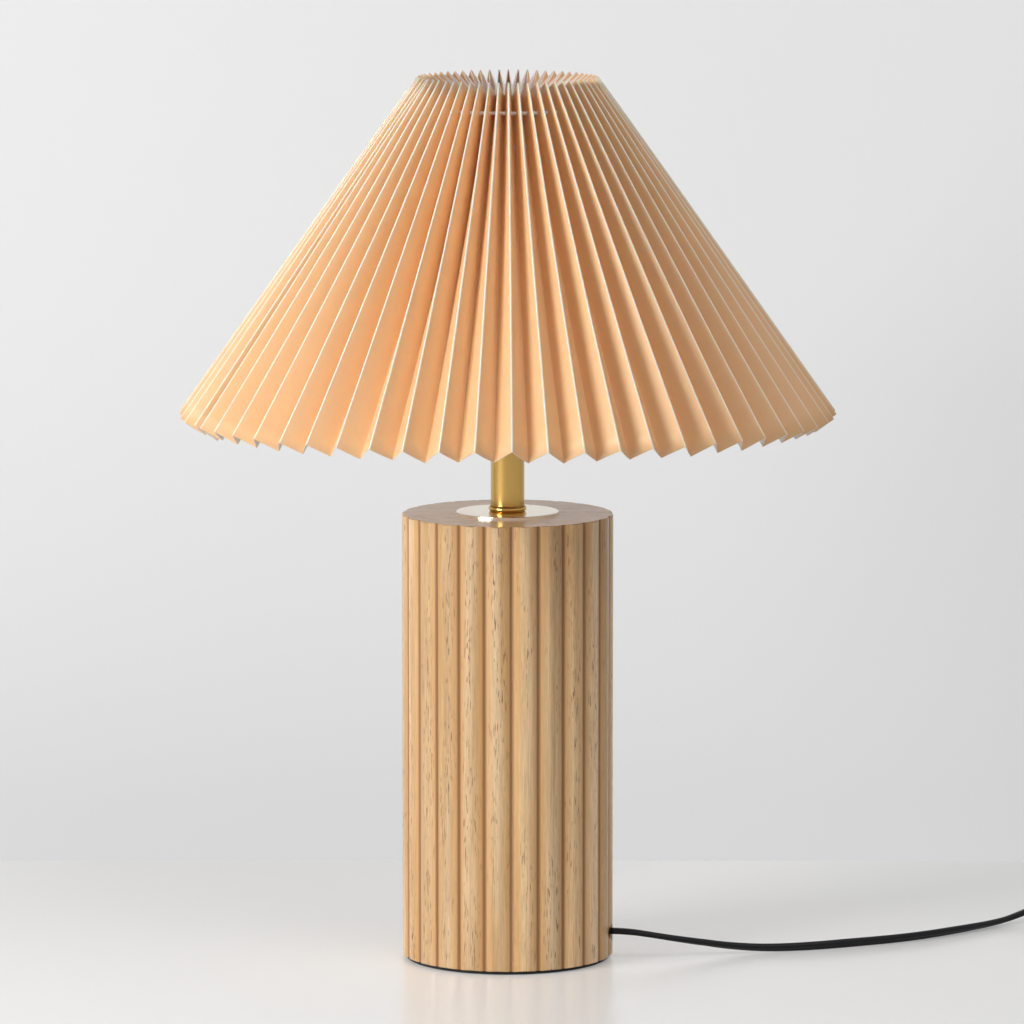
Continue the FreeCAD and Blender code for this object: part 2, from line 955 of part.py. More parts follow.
def folded_paper():
    """The closed solid of the folded strip, as flat triangles along every panel and fold."""
    low, high = shade_sections()
    count = len(low)
    faces = []
    for i in range(count):
        after = (i + 1) % count
        for side in (0, 1):
            a, b = low[i][side], high[i][side]
            c, d = low[after][side], high[after][side]
            if len(a) == 2:
                faces += quad(a[0], a[1], b[1], b[0])
            faces += quad(a[-1], c[0], d[0], b[-1])
        for end in (low, high):
            outside, inside = end[i]
            next_out, next_in = end[after]
            faces += quad(outside[-1], next_out[0], next_in[0], inside[-1])
            if len(outside) == 2:
                faces.append(triangle(outside[0], outside[1], inside[0]))
            else:
                faces.append(triangle(outside[0], inside[0], inside[1]))
    shell = Part.Shell(faces)
    shell.sewShape()
    solid = Part.Solid(shell)
    return solid if solid.Volume > 0 else solid.reversed()


def thread_line():
    """Radius and height of the gathering thread inside the folds."""
    r = neck_radius + thread_below_top * math.sin(slope)
    z = shade_top - thread_below_top * math.cos(slope)
    depth = fold_depth(r, math.radians(fold_step / 2)) * thread_depth_share
    return r - depth * math.cos(slope), z - depth * math.sin(slope)


def pleated_shade():
    """The folded paper, pierced for the thread and notched where the inner folds sit on the ring."""
    radius, z = thread_line()
    holes = Part.makeTorus(radius, thread_radius + thread_hole_gap, vec(0, 0, z))
    seat = carrier_wire / 2 + ring_gap
    notch_drop = 4 * carrier_wire
    notches = Part.makeTorus(ring_radius, seat, vec(0, 0, ring_height))
    below_ring = ring(ring_radius + seat, ring_radius - seat, notch_drop, ring_height - notch_drop)
    notches = notches.fuse(below_ring)
    return folded_paper().cut(holes).cut(notches)


def gathering_thread():
    """The closed loop of thread that keeps the folds drawn in."""
    radius, z = thread_line()
    return Part.makeTorus(radius, thread_radius, vec(0, 0, z))


# ---------------------------------------------------------------- bulb


def bulb_tip():
    middle_radius, middle_depth = dome_middle(tip_radius, tip_dome)
    return lathe(
        [
            (0, tip_base),
            ("arc", middle_radius, tip_base + middle_depth),
            (tip_radius, tip_base + tip_dome),
            (tip_radius, tip_base + tip_height),
            (0, tip_base + tip_height),
        ]
    )


def bulb_insulator():
    """Glassy plug between the tip contact and the metal cap."""
    start = tip_radius + insulator_lip
    foot = screw_cap_radius - cap_foot
    insulator_base = tip_base + tip_height
    return lathe(
        [
            (0, insulator_base),
            (start, insulator_base),
            ("arc", (start + foot) / 2 + 0.4, insulator_base + insulator_height / 3),
            (foot, cap_base),
            (foot, cap_base + insulator_spigot),
            (0, cap_base + insulator_spigot),
        ]
    )


def bulb_screw_cap():
    """Metal cap with its rounded thread drawn as rings."""
    root = screw_cap_radius - screw_depth
    inside = root - screw_cap_wall
    foot = screw_cap_radius - cap_foot + thread_gap
    foot_top = cap_base + cap_foot_rise + cap_foot_wall
    z = cap_base + cap_foot_rise
    outer = [(foot, cap_base), (root, z)]
    while z + screw_pitch < cap_end:
        outer += [("arc", screw_cap_radius, z + screw_pitch / 2), (root, z + screw_pitch)]
        z += screw_pitch
    inner = [(root, cap_end), (inside, cap_end), (inside, foot_top), (foot, foot_top)]
    return lathe(outer + inner)


housing_top = globe_centre - housing_below_centre
housing_radius = math.sqrt(globe_radius**2 - housing_below_centre**2)
board_radius = housing_radius - board_inset
board_base = housing_top - board_below_rim - board_thickness


def bulb_housing():
    """Plastic body of the bulb, hollow, from the screw cap to the globe, with a ledge for the board."""
    spigot = screw_cap_radius - screw_depth - screw_cap_wall - thread_gap
    spigot_inside = spigot - housing_spigot_wall
    spigot_base = cap_end - housing_spigot_below
    collar = screw_cap_radius + housing_collar_lip
    collar_top = cap_end + housing_collar
    waist = (screw_cap_radius + housing_radius) / 2 - housing_slack
    waist_height = (cap_end + housing_top) / 2 + 1.0
    board_room = board_radius + thread_gap
    ledge = board_radius - board_ledge
    return lathe(
        [
            (spigot_inside, spigot_base),
            (spigot, spigot_base),
            (spigot, cap_end),
            (collar, cap_end),
            (collar, collar_top),
            ("arc", waist, waist_height),
            (housing_radius, housing_top),
            (board_room, housing_top),
            (board_room, board_base),
            (ledge, board_base),
            ("arc", waist - housing_wall, waist_height + 0.6),
            (spigot_inside, collar_top + 0.4),
        ]
    )


def bulb_board():
    return disc(board_radius, board_thickness, board_base)


def bulb_leds():
    chips = []
    for k in range(led_count):
        place = polar(360 * k / led_count, board_radius - led_inset, board_base + board_thickness)
        corner = place - vec(led_side / 2, led_side / 2, 0)
        chips.append(Part.makeBox(led_side, led_side, led_height, corner))
    return Part.makeCompound(chips)


def bulb_globe():
    """Frosted shell, open below, standing on the housing."""
    inner = globe_radius - globe_wall
    foot_inside = math.sqrt(inner**2 - housing_below_centre**2)
    tilt = math.radians(40)
    return lathe(
        [
            (foot_inside, housing_top),
            (housing_radius, housing_top),
            ("arc", globe_radius * math.cos(tilt), globe_centre + globe_radius * math.sin(tilt)),
            (0, bulb_top),
            (0, bulb_top - globe_wall),
            ("arc", inner * math.cos(tilt), globe_centre + inner * math.sin(tilt)),
        ]
    )


# ---------------------------------------------------------------- cord inside the lamp

hole_way = polar(cord_hole_at, 1, 0)
hole_side = vec(0, 0, 1).cross(hole_way)
cord_height = cord_hole_height + cord_in_hole


def inner_cord():
    """The flat cord from the mouth of the hole, up through the pipe, into the lampholder."""
    start = vec(*route_to_switch[0])
    points = [start, vec(0, 0, cord_height), vec(0, 0, lead_top)]
    path, _ = bent_path([(p.x, p.y, p.z) for p in points], cord_bend)
    section = flat_section(start, hole_side, vec(0, 0, 1), cord_width, cord_thickness)
    solid = path.makePipeShell([section], True, False)
    return solid if solid.Volume > 0 else solid.reversed()


def cord_stop():
    """Clamp round the cord, too big for the hole, that takes a pull on the cord."""
    near = recess_radius - stop_from_wood
    corner = vec(near - stop_length, -stop_width / 2, cord_height - stop_height / 2)
    block = Part.makeBox(stop_length, stop_width, stop_height, corner)
    block = block.makeFillet(stop_edge, block.Edges)
    block.rotate(vec(0, 0, 0), vec(0, 0, 1), cord_hole_at - 90)
    start = hole_way * recess_radius + vec(0, 0, cord_height)
    width = cord_width + stop_slack
    thickness = cord_thickness + stop_slack
    section = flat_section(start, hole_side, vec(0, 0, 1), width, thickness)
    channel = Part.Face(section).extrude(hole_way * (-recess_radius / 2))
    return block.cut(channel)


def core_leads():
    """The two cores, from the end of the flat cord to the terminals."""
    leads = []
    straight = 2.5
    below = 1.2
    inside = core_hole_depth / 2
    for side in (-1, 1):
        core = hole_side * (side * core_spacing / 2)
        points = [
            core + vec(0, 0, lead_top),
            core + vec(0, 0, lead_top + straight),
            vec(-side * terminal_offset, 0, terminal_base - below),
            vec(-side * terminal_offset, 0, terminal_base + inside),
        ]
        path, _ = bent_path([(p.x, p.y, p.z) for p in points])
        leads.append(tube_along(path, core_radius))
    return Part.makeCompound(leads)


# ---------------------------------------------------------------- free cord


def cord_tube(name, route):
    path, radii = bent_path(route)
    solid = tube_along(path, cord_width / 2)
    expected = math.pi * (cord_width / 2) ** 2 * path.Length
    share = solid.Volume / expected
    print(f"{name}: length {path.Length:.1f}, volume over section times length {share:.5f}")
    print("  radii " + " ".join(f"{r:.0f}" for r in radii))
    return solid


coil_step = coil_pitch / 2
coil_low = coil_lift + cord_width / 2
coil_high = coil_low + layer_pitch
half_turns_in = 2 * coil_turns_per_layer
coil_reaches = [coil_radius - coil_step * k for k in range(half_turns_in + 2)]
for _ in range(half_turns_in - 1):
    coil_reaches.append(coil_reaches[-2] + coil_pitch)


def coil_point(side, reach, z):
    return vec(coil_centre[0] + side * reach, coil_centre[1], z)


def coil_path():
    """Half turns that spiral in on the table, climb once, and spiral out on top."""
    level = [coil_low] * (half_turns_in + 1)
    level += [coil_high] * (len(coil_reaches) - len(level))
    start = coil_point(1, coil_reaches[0], level[0])
    end = coil_point(1, coil_reaches[-1], level[-1])
    edges = [Part.LineSegment(start + vec(0, cord_width, 0), start).toShape()]
    for k in range(len(coil_reaches) - 1):
        side = 1 if k % 2 == 0 else -1
        a = coil_point(side, coil_reaches[k], level[k])
        b = coil_point(-side, coil_reaches[k + 1], level[k + 1])
        bulge = vec(0, -side * a.distanceToPoint(b) / 2, 0)
        edges.append(Part.Arc(a, (a + b) * 0.5 + bulge, b).toShape())
    edges.append(Part.LineSegment(end, end - vec(0, cord_width, 0)).toShape())
    return Part.Wire(edges)


def coil_least_gap(path):
    """Least gap between turns, from the spines of the upright flat section at points 2 mm apart."""
    points = path.discretize(Distance=2.0)
    near = int(4 * cord_width / 2.0)
    spine = cord_width - cord_thickness
    least = 1e9
    for i, p in enumerate(points):
        for q in points[i + near :]:
            rise = max(0.0, abs(p.z - q.z) - spine)
            least = min(least, math.sqrt((p.x - q.x) ** 2 + (p.y - q.y) ** 2 + rise**2))
    return least - cord_thickness


def cord_coil():
    """The wound cord as one unbroken flat tube, standing on its edge."""
    path = coil_path()
    start = path.Edges[0].valueAt(path.Edges[0].FirstParameter)
    section = flat_section(start, vec(0, 0, 1), vec(1, 0, 0), cord_width, cord_thickness)
    solid = path.makePipeShell([section], True, False)
    print(f"coil: length {path.Length:.1f}, least gap to itself {coil_least_gap(path):.2f}")
    return solid if solid.Volume > 0 else solid.reversed()


def coil_ties():
    """Two flat bands round the bundle, which the coil rests on."""
    inner_low = min(coil_reaches) - cord_thickness / 2 - tie_clearance
    inner_high = max(coil_reaches) + cord_thickness / 2 + tie_clearance
    gap_low = tie_thickness
    gap_high = coil_high + cord_width / 2 + tie_clearance
    ties = []
    for angle in tie_angles:
        outside = Part.makeBox(
            inner_high - inner_low + 2 * tie_thickness,
            tie_width,
            gap_high - gap_low + 2 * tie_thickness,
            vec(inner_low - tie_thickness, -tie_width / 2, 0),
        )
        edges = [e for e in outside.Edges if abs(e.Length - tie_width) < 1e-6]
        outside = outside.makeFillet(tie_corner, edges)
        inside = Part.makeBox(
            inner_high - inner_low, tie_width, gap_high - gap_low, vec(inner_low, -tie_width / 2, gap_low)
        )
        band = outside.cut(inside)
        ties.append(placed(band, coil_centre, angle))
    return Part.makeCompound(ties)


# ---------------------------------------------------------------- in-line switch

switch_axis = switch_height / 2
switch_stations = [
    (0.0, switch_nose, switch_nose),
    (0.14, 0.62 * switch_width, 0.78 * switch_height),
    (0.30, switch_width, switch_height),
    (0.70, switch_width, switch_height),
    (0.86, 0.62 * switch_width, 0.78 * switch_height),
    (1.0, switch_nose, switch_nose),
]
rocker_pivot = switch_height - rocker_pin_depth
ear_low = rocker_pivot - rocker_boss


def switch_form(wall):
    """Body of the switch, less a wall all round: rounded sections lofted along the cord."""
    outlines = []
    for share, width, height in switch_stations:
        x = wall + share * (switch_length - 2 * wall)
        low = switch_axis - height / 2 + wall
        outlines.append(rounded_outline(x, width - 2 * wall, height - 2 * wall, low, switch_corner))
    solid = Part.makeLoft(outlines, True, True)
    return solid if solid.Volume > 0 else solid.reversed()


def switch_half(upper):
    shell = switch_form(0.0).cut(switch_form(switch_wall))
    z = switch_axis if upper else -1.0
    corner = vec(0, -switch_width, z)
    return shell.common(Part.makeBox(switch_length, 2 * switch_width, switch_axis + 1.0, corner))


switch_screw_places = [
    (0.36 * switch_length, switch_width / 2 - switch_screw_inset),
    (0.64 * switch_length, switch_screw_inset - switch_width / 2),
]


def switch_lower_case():
    """Lower half, with the posts that the two screws pass through from below."""
    half = switch_half(False)
    for x, y in switch_screw_places:
        below = vec(x, y, -switch_head_depth)
        post = Part.makeCylinder(
            switch_post_radius, switch_axis - switch_head_depth, vec(x, y, switch_head_depth)
        )
        shank_hole = Part.makeCylinder(switch_screw_radius + switch_screw_slack, switch_height, below)
        head_hole = Part.makeCylinder(
            switch_head_hole_radius, switch_head_depth + switch_head_hole_depth, below
        )
        half = half.fuse(post).cut(shank_hole).cut(head_hole)
    return half.removeSplitter()


def switch_upper_case():
    """Upper half, with the screws' blind posts, the rocker's slot and two ears for its pin."""
    half = switch_half(True)
    middle = switch_length / 2
    for x, y in switch_screw_places:
        foot = vec(x, y, switch_axis)
        half = half.fuse(Part.makeCylinder(switch_post_radius, switch_post_height, foot))
        screw_hole = Part.makeCylinder(
            switch_screw_radius + thread_gap, switch_post_height - switch_head_depth, foot
        )
        half = half.cut(screw_hole)
    reach = rocker_length / 2 + rocker_gap + rocker_swing_room
    side = rocker_width / 2 + rocker_gap
    slot = Part.makeBox(2 * reach, 2 * side, switch_height, vec(middle - reach, -side, switch_axis + 1.0))
    for y in (-side - ear_thickness, side):
        corner = vec(middle - ear_length / 2, y, ear_low)
        half = half.fuse(Part.makeBox(ear_length, ear_thickness, rocker_boss + ear_rise, corner))
    hole_length = rocker_width + 2 * (rocker_gap + ear_thickness)
    start = vec(middle, -hole_length / 2, rocker_pivot)
    pin_hole = Part.makeCylinder(rocker_pin_radius + thread_gap, hole_length, start, vec(0, 1, 0))
    return half.cut(slot).cut(pin_hole).removeSplitter()


def switch_rocker():
    """Rocker at rest in its off position, tilted about its pin."""
    middle = switch_length / 2
    half = rocker_length / 2
    crown = switch_height + rocker_rise
    low = rocker_pivot - rocker_belly
    boss_low = rocker_pivot - rocker_boss
    corners = [
        (-half, low),
        (-rocker_boss_foot, low),
        (-rocker_boss, boss_low),
        (rocker_boss, boss_low),
        (rocker_boss_foot, low),
        (half, low),
        (half, crown),
        (0, crown - rocker_dip),
        (-half, crown),
    ]
    start = vec(middle, -rocker_width / 2, 0)
    points = [start + vec(x, 0, z) for x, z in corners]
    body = Part.Face(Part.makePolygon(points + points[:1])).extrude(vec(0, rocker_width, 0))
    crown_edges = []
    for edge in body.Edges:
        box = edge.BoundBox
        if box.ZMin > switch_height and box.YLength > rocker_width / 2:
            crown_edges.append(edge)
    body = body.makeFillet(rocker_edge, crown_edges)
    bore_start = start + vec(0, 0, rocker_pivot)
    bore = Part.makeCylinder(rocker_pin_radius + rocker_pin_gap, rocker_width, bore_start, vec(0, 1, 0))
    body = body.cut(bore)
    body.rotate(vec(middle, 0, rocker_pivot), vec(0, 1, 0), -rocker_tilt)
    return body


def switch_pin():
    length = rocker_width + 2 * (rocker_gap + pin_in_ear)
    start = vec(switch_length / 2, -length / 2, rocker_pivot)
    return Part.makeCylinder(rocker_pin_radius, length, start, vec(0, 1, 0))


def switch_contacts():
    """Two fixed brass contacts, standing on the floor of the lower case."""
    contacts = []
    width = contact_blade_width
    for side in (-1, 1):
        x = switch_length / 2 + side * contact_offset
        foot_corner = vec(x - contact_foot / 2, -width / 2, switch_wall)
        foot = Part.makeBox(contact_foot, width, contact_blade, foot_corner)
        blade_corner = vec(x - contact_blade / 2, -width / 2, switch_wall)
        blade = Part.makeBox(contact_blade, width, width, blade_corner)
        contacts.append(foot.fuse(blade).removeSplitter())
    return Part.makeCompound(contacts)


def switch_screws():
    """Cross-head screws, their heads sunk in the underside of the switch."""
    screws = []
    shank_base = switch_head_depth + screw_head_height
    cross = 1.3 * screw_head_radius
    for x, y in switch_screw_places:
        foot = vec(x, y, switch_head_depth)
        head = Part.makeCylinder(screw_head_radius, screw_head_height, foot)
        shank = Part.makeCylinder(switch_screw_radius, switch_axis + 2.0, vec(x, y, shank_base))
        screw = head.fuse(shank)
        for length, width in ((cross, screw_slot), (screw_slot, cross)):
            corner = foot - vec(length / 2, width / 2, 0)
            screw = screw.cut(Part.makeBox(length, width, screw_slot, corner))
        screws.append(screw.removeSplitter())
    return Part.makeCompound(screws)


# ---------------------------------------------------------------- plug

plug_axis = plug_thickness / 2
plug_face = plug_sleeve_length + plug_body_length
plug_stations = [
    (0.0, 13.0, 11.6),
    (0.30, 19.0, 13.0),
    (0.62, 32.0, plug_thickness),
    (0.94, plug_width, plug_thickness),
    (1.0, plug_width - 1.6, plug_thickness - 1.2),
]


def plug_sleeve():
    """Tapered, grooved sleeve that eases the cord out of the plug."""
    narrow = cord_width / 2 + plug_sleeve_wall
    growth = (plug_sleeve_wide - narrow) / plug_sleeve_length
    outline = [(0.0, 0.0), (narrow, 0.0)]
    for k in range(plug_sleeve_ribs):
        x = plug_sleeve_length * (k + 0.55) / (plug_sleeve_ribs + 0.4)
        r = narrow + growth * x
        groove_start = x + plug_groove_flank
        groove_end = groove_start + plug_groove_width
        outline.append((r, x))
        outline.append((r - plug_groove_depth, groove_start))
        outline.append((r - plug_groove_depth, groove_end))
        outline.append((r + plug_rib_lip, groove_end + plug_groove_flank))
    outline += [(plug_sleeve_wide, plug_sleeve_length), (0.0, plug_sleeve_length)]
    sleeve = lathe(outline)
    sleeve.rotate(vec(0, 0, 0), vec(0, 1, 0), 90)
    sleeve.translate(vec(0, 0, plug_axis))
    return sleeve


def plug_body():
    """Flat body of the plug with its two pin sleeves; the pins pass into it."""
    outlines = []
    for share, width, height in plug_stations:
        x = plug_sleeve_length + share * plug_body_length
        outlines.append(rounded_outline(x, width, height, plug_axis - height / 2, plug_corner))
    body = Part.makeLoft(outlines, True, True)
    way = vec(1, 0, 0)
    for side in (-1, 1):
        y = side * plug_pin_spacing / 2
        sleeve_root = vec(plug_face - plug_sleeve_root, y, plug_axis)
        sleeve_length = plug_sleeve_root + plug_pin_sleeve
        body = body.fuse(Part.makeCylinder(plug_pin_sleeve_radius, sleeve_length, sleeve_root, way))
        pin_root = vec(plug_face - plug_pin_root, y, plug_axis)
        bore_length = plug_pin_root + plug_pin_sleeve
        body = body.cut(Part.makeCylinder(plug_pin_core_radius, bore_length, pin_root, way))
    return body.removeSplitter()


def plug_pins():
    """Pins with a thin core inside their sleeves and a thick, domed end."""
    pins = []
    middle_radius, middle_depth = dome_middle(plug_pin_radius, plug_pin_dome)
    start = plug_face - plug_pin_root
    shoulder = plug_face + plug_pin_sleeve
    end = shoulder + plug_pin_length
    for side in (-1, 1):
        y = side * plug_pin_spacing / 2
        pin = lathe(
            [
                (0, start),
                (plug_pin_core_radius, start),
                (plug_pin_core_radius, shoulder),
                (plug_pin_radius, shoulder),
                (plug_pin_radius, end - plug_pin_dome),
                ("arc", middle_radius, end - middle_depth),
                (0, end),
            ]
        )
        pin.rotate(vec(0, 0, 0), vec(0, 1, 0), 90)
        pin.translate(vec(0, y, plug_axis))
        pins.append(pin)
    return Part.makeCompound(pins)


# ---------------------------------------------------------------- build

lamp_nodes = [
    fluted_column,
    base_pad,
    threaded_pipe,
    bottom_washer,
    bottom_nut,
    top_plate,
    neck_collar,
    neck_tube,
    neck_cap,
    lock_nut,
    holder_lower,
    holder_skirt,
    holder_insert,
    screw_shell,
    centre_contact,
    terminals,
    terminal_screws,
    shade_ring_nut,
    shade_carrier,
    pleated_shade,
    gathering_thread,
    bulb_tip,
    bulb_insulator,
    bulb_screw_cap,
    bulb_housing,
    bulb_board,
    bulb_leds,
    bulb_globe,
    inner_cord,
    cord_stop,
    core_leads,
    cord_coil,
    coil_ties,
]
switch_nodes = [
    switch_lower_case,
    switch_upper_case,
    switch_rocker,
    switch_pin,
    switch_contacts,
    switch_screws,
]
plug_nodes = [plug_sleeve, plug_body, plug_pins]

os.makedirs("parts", exist_ok=True)
for make in lamp_nodes:
    save(make.__name__, make())
for make in switch_nodes:
    save(make.__name__, placed(make(), switch_place, switch_turn))
for make in plug_nodes:
    save(make.__name__, placed(make(), plug_place, plug_turn))
save("cord_to_switch", cord_tube("cord_to_switch", route_to_switch))
save("cord_to_coil", cord_tube("cord_to_coil", route_to_coil))
save("cord_to_plug", cord_tube("cord_to_plug", route_to_plug))
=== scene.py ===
# %% [markdown]
# # A pleated paper table lamp
#
# The real lamp is a solid wooden column turned with two dozen convex reeds, a short brass neck, and a
# cone of paper folded into narrow pleats that simply sits on a wire ring. A flat black cord leaves the
# column near the table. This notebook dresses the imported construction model: the sizes come from the
# frame, and each cell adds one piece or one finish.

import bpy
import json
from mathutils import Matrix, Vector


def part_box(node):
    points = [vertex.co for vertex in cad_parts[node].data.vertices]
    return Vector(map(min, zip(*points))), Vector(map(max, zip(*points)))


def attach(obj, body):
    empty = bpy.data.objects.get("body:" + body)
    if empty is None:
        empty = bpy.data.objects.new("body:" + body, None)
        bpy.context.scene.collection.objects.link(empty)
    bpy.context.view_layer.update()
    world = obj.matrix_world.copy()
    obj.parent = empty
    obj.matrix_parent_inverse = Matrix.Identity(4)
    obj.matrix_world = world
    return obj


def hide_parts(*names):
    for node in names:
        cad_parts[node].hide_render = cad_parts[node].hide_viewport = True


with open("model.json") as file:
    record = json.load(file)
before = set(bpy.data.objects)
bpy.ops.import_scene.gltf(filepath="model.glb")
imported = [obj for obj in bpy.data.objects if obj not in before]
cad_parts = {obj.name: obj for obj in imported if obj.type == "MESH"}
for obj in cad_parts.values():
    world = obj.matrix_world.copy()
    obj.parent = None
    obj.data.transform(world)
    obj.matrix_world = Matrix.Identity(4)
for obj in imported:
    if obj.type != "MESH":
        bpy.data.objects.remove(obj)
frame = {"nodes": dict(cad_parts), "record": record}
print("nodes in the frame:", len(frame["nodes"]))

# %% Tools used by every cell
import json
import math
import random

import bpy
import numpy as np
from mathutils import Vector

MM = 0.001
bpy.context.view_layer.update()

# %% [markdown]
# ## Camera first
#
# The photograph was taken with a long lens from a little above the lamp, so its vertical lines stay
# parallel. A camera nearly four metres away with a 258 mm lens gives the same flat perspective. It
# looks at a point half way up the lamp and a touch to the right of its axis.

# %% Camera
camera_distance = 3.9165
camera_elevation = math.radians(7.647)
camera_lens = 258.1
camera_aim = Vector((0.0024, 0.0, 0.2404))

camera_data = bpy.data.cameras.new("camera")
camera_data.lens = camera_lens
camera_data.sensor_width = 36.0
camera_data.clip_end = 50.0
camera = bpy.data.objects.new("camera", camera_data)
bpy.context.scene.collection.objects.link(camera)
back = Vector((0.0, -math.cos(camera_elevation), math.sin(camera_elevation)))
camera.location = camera_aim + back * camera_distance
camera.rotation_euler = (-back).to_track_quat("-Z", "Y").to_euler()
bpy.context.scene.camera = camera
print("camera stands at", [round(v, 3) for v in camera.location])

# %% [markdown]
# ## Small mesh helpers
#
# One kind of mesh comes up again and again: a grid of rows and columns that closes round the lamp or
# along the cord. Writing the helpers once keeps the later cells short.

# %% Mesh helpers


def add_mesh(name, points, faces, smooth=True):
    mesh = bpy.data.meshes.new(name)
    mesh.from_pydata([tuple(p) for p in points], [], [tuple(f) for f in faces])
    mesh.polygons.foreach_set("use_smooth", [smooth] * len(mesh.polygons))
    mesh.update()
    made = bpy.data.objects.new(name, mesh)
    bpy.context.scene.collection.objects.link(made)
    return made


def grid_faces(rows, columns, close_columns=False, first=0):
    """Quads between neighbouring rows of points that are stored row after row."""
    faces = []
    span = columns if close_columns else columns - 1
    for row in range(rows - 1):
        for column in range(span):
            a = first + row * columns + column
            b = first + row * columns + (column + 1) % columns
            faces.append((a, b, b + columns, a + columns))
    return faces


def polar(angle, radius, z):
    """A point round the lamp: angle in degrees from the front, positive towards +X."""
    a = math.radians(angle)
    return Vector((radius * math.sin(a), -radius * math.cos(a), z))


print("helpers: add_mesh, grid_faces, polar")

# %% [markdown]
# ## The cord's route
#
# A flat two-core cord is a fixed length of something springy: it leaves the hole level, drops over a
# few centimetres and then lies on the table. The route is a short list of points, and a NURBS spline
# through them gives the smooth line that the whole cord follows. What the photograph doesn't show is
# put away as a coil, past the right edge.

# %% Route of the cord
cord_width = 5.4 * MM
cord_thickness = 3.2 * MM

route_to_switch = [
    (55.6, -8.1, 14.8),
    (64.5, -9.4, 14.8),
    (76.5, -9.3, 13.0),
    (90.0, -6.2, 10.2),
    (105.0, -1.3, 7.2),
    (121.5, 4.4, 4.4),
    (141.0, 8.5, 2.7),
    (164.0, 12.5, 2.7),
    (190.0, 23.5, 2.7),
    (219.0, 38.0, 2.7),
    (247.0, 61.0, 2.7),
    (270.0, 84.5, 2.7),
    (283.4, 96.0, 5.0),
    (296.4, 105.2, 8.0),
    (308.0, 113.0, 8.0),
]
route_to_coil = [
    (367.7, 153.3, 8.0),
    (379.3, 161.1, 8.0),
    (394.0, 164.2, 5.6),
    (409.3, 161.5, 3.4),
    (422.3, 153.1, 2.7),
    (431.2, 139.8, 2.7),
    (434.7, 123.2, 2.7),
    (431.5, 105.0, 2.7),
    (424.4, 87.4, 2.7),
    (415.8, 71.0, 2.8),
    (410.8, 56.5, 3.2),
    (409.4, 43.0, 3.7),
    (409.4, 29.4, 3.7),
]
route_to_plug = [
    (409.4, 18.6, 9.6),
    (409.4, 1.2, 9.6),
    (408.9, -16.4, 8.4),
    (407.4, -32.1, 6.85),
    (405.7, -46.0, 6.85),
]


def spline_points(name, route, resolution=10):
    """Points along the smooth NURBS line whose control points are the route, in metres."""
    curve = bpy.data.curves.new(name, "CURVE")
    curve.dimensions = "3D"
    spline = curve.splines.new("NURBS")
    spline.points.add(len(route) - 1)
    for point, place in zip(spline.points, route):
        point.co = (*[v * MM for v in place], 1.0)
    spline.order_u = 3
    spline.use_endpoint_u = True
    spline.resolution_u = resolution
    holder = bpy.data.objects.new(name, curve)
    mesh = bpy.data.meshes.new_from_object(holder)
    line = [v.co.copy() for v in mesh.vertices]
    bpy.data.meshes.remove(mesh)
    bpy.data.objects.remove(holder)
    bpy.data.curves.remove(curve)
    return line


def length_of(line):
    return sum((b - a).length for a, b in zip(line, line[1:]))


print("lamp to switch, metres:", round(length_of(spline_points("try", route_to_switch)), 4))

# %% Turns of the coil
coil_centre = (372.0, 24.0)
coil_radius = 37.4
coil_pitch = 3.8
coil_half_turns_in = 6
coil_low = 3.7
coil_high = 9.6
coil_points_per_half = 12


def coil_route():
    """Half turns that spiral in on the table, climb once, and spiral out on top."""
    reaches = [coil_radius - coil_pitch / 2 * k for k in range(coil_half_turns_in + 2)]
    for _ in range(coil_half_turns_in - 1):
        reaches.append(reaches[-2] + coil_pitch)
    route = []
    step = math.pi / coil_points_per_half
    spread = 1.0 / (0.75 + 0.25 * math.cos(step))
    for half in range(len(reaches) - 1):
        side = 1 if half % 2 == 0 else -1
        start = side * reaches[half]
        end = -side * reaches[half + 1]
        middle = (start + end) / 2
        radius = abs(start - end) / 2 * spread
        z_start = coil_low if half <= coil_half_turns_in else coil_high
        z_end = coil_low if half < coil_half_turns_in else coil_high
        for k in range(coil_points_per_half):
            if half == 0 and k == 0:
                continue
            angle = k * step
            share = k / coil_points_per_half
            x = coil_centre[0] + middle + side * radius * math.cos(angle)
            y = coil_centre[1] - side * radius * math.sin(angle)
            route.append((x, y, z_start + (z_end - z_start) * share))
    return route


whole_route = route_to_coil + coil_route() + route_to_plug
to_switch = spline_points("to_switch", route_to_switch)
to_plug = spline_points("to_plug", whole_route, 4)
print("switch to plug, metres:", round(length_of(to_plug), 4), "points", len(to_plug))

# %% [markdown]
# ## The cord itself
#
# The flex is two round cores in one flat jacket, 5.4 by 3.2 mm, with a shallow groove down the middle
# of each flat side. It leaves the hole lying flat and rolls on to its edge along the way, which is why
# it looks thicker in the middle of its run. The profile is swept along the line with a twist that is
# given at a few places along its length.

# %% Sweep a flat profile


def cord_profile(steps=7, groove=0.28 * MM):
    """Outline of the flat jacket: two round lobes joined by a shallow waist."""
    lobe = cord_thickness / 2
    centre = cord_width / 2 - lobe
    outline = []
    for side in (1, -1):
        for k in range(steps):
            angle = math.radians(-90 + 180 * k / (steps - 1)) * side
            if side < 0:
                angle = math.pi + math.radians(-90 + 180 * k / (steps - 1))
            outline.append((side * centre + lobe * math.cos(angle), lobe * math.sin(angle)))
        outline.append((0.0, side * (lobe - groove)))
    return outline


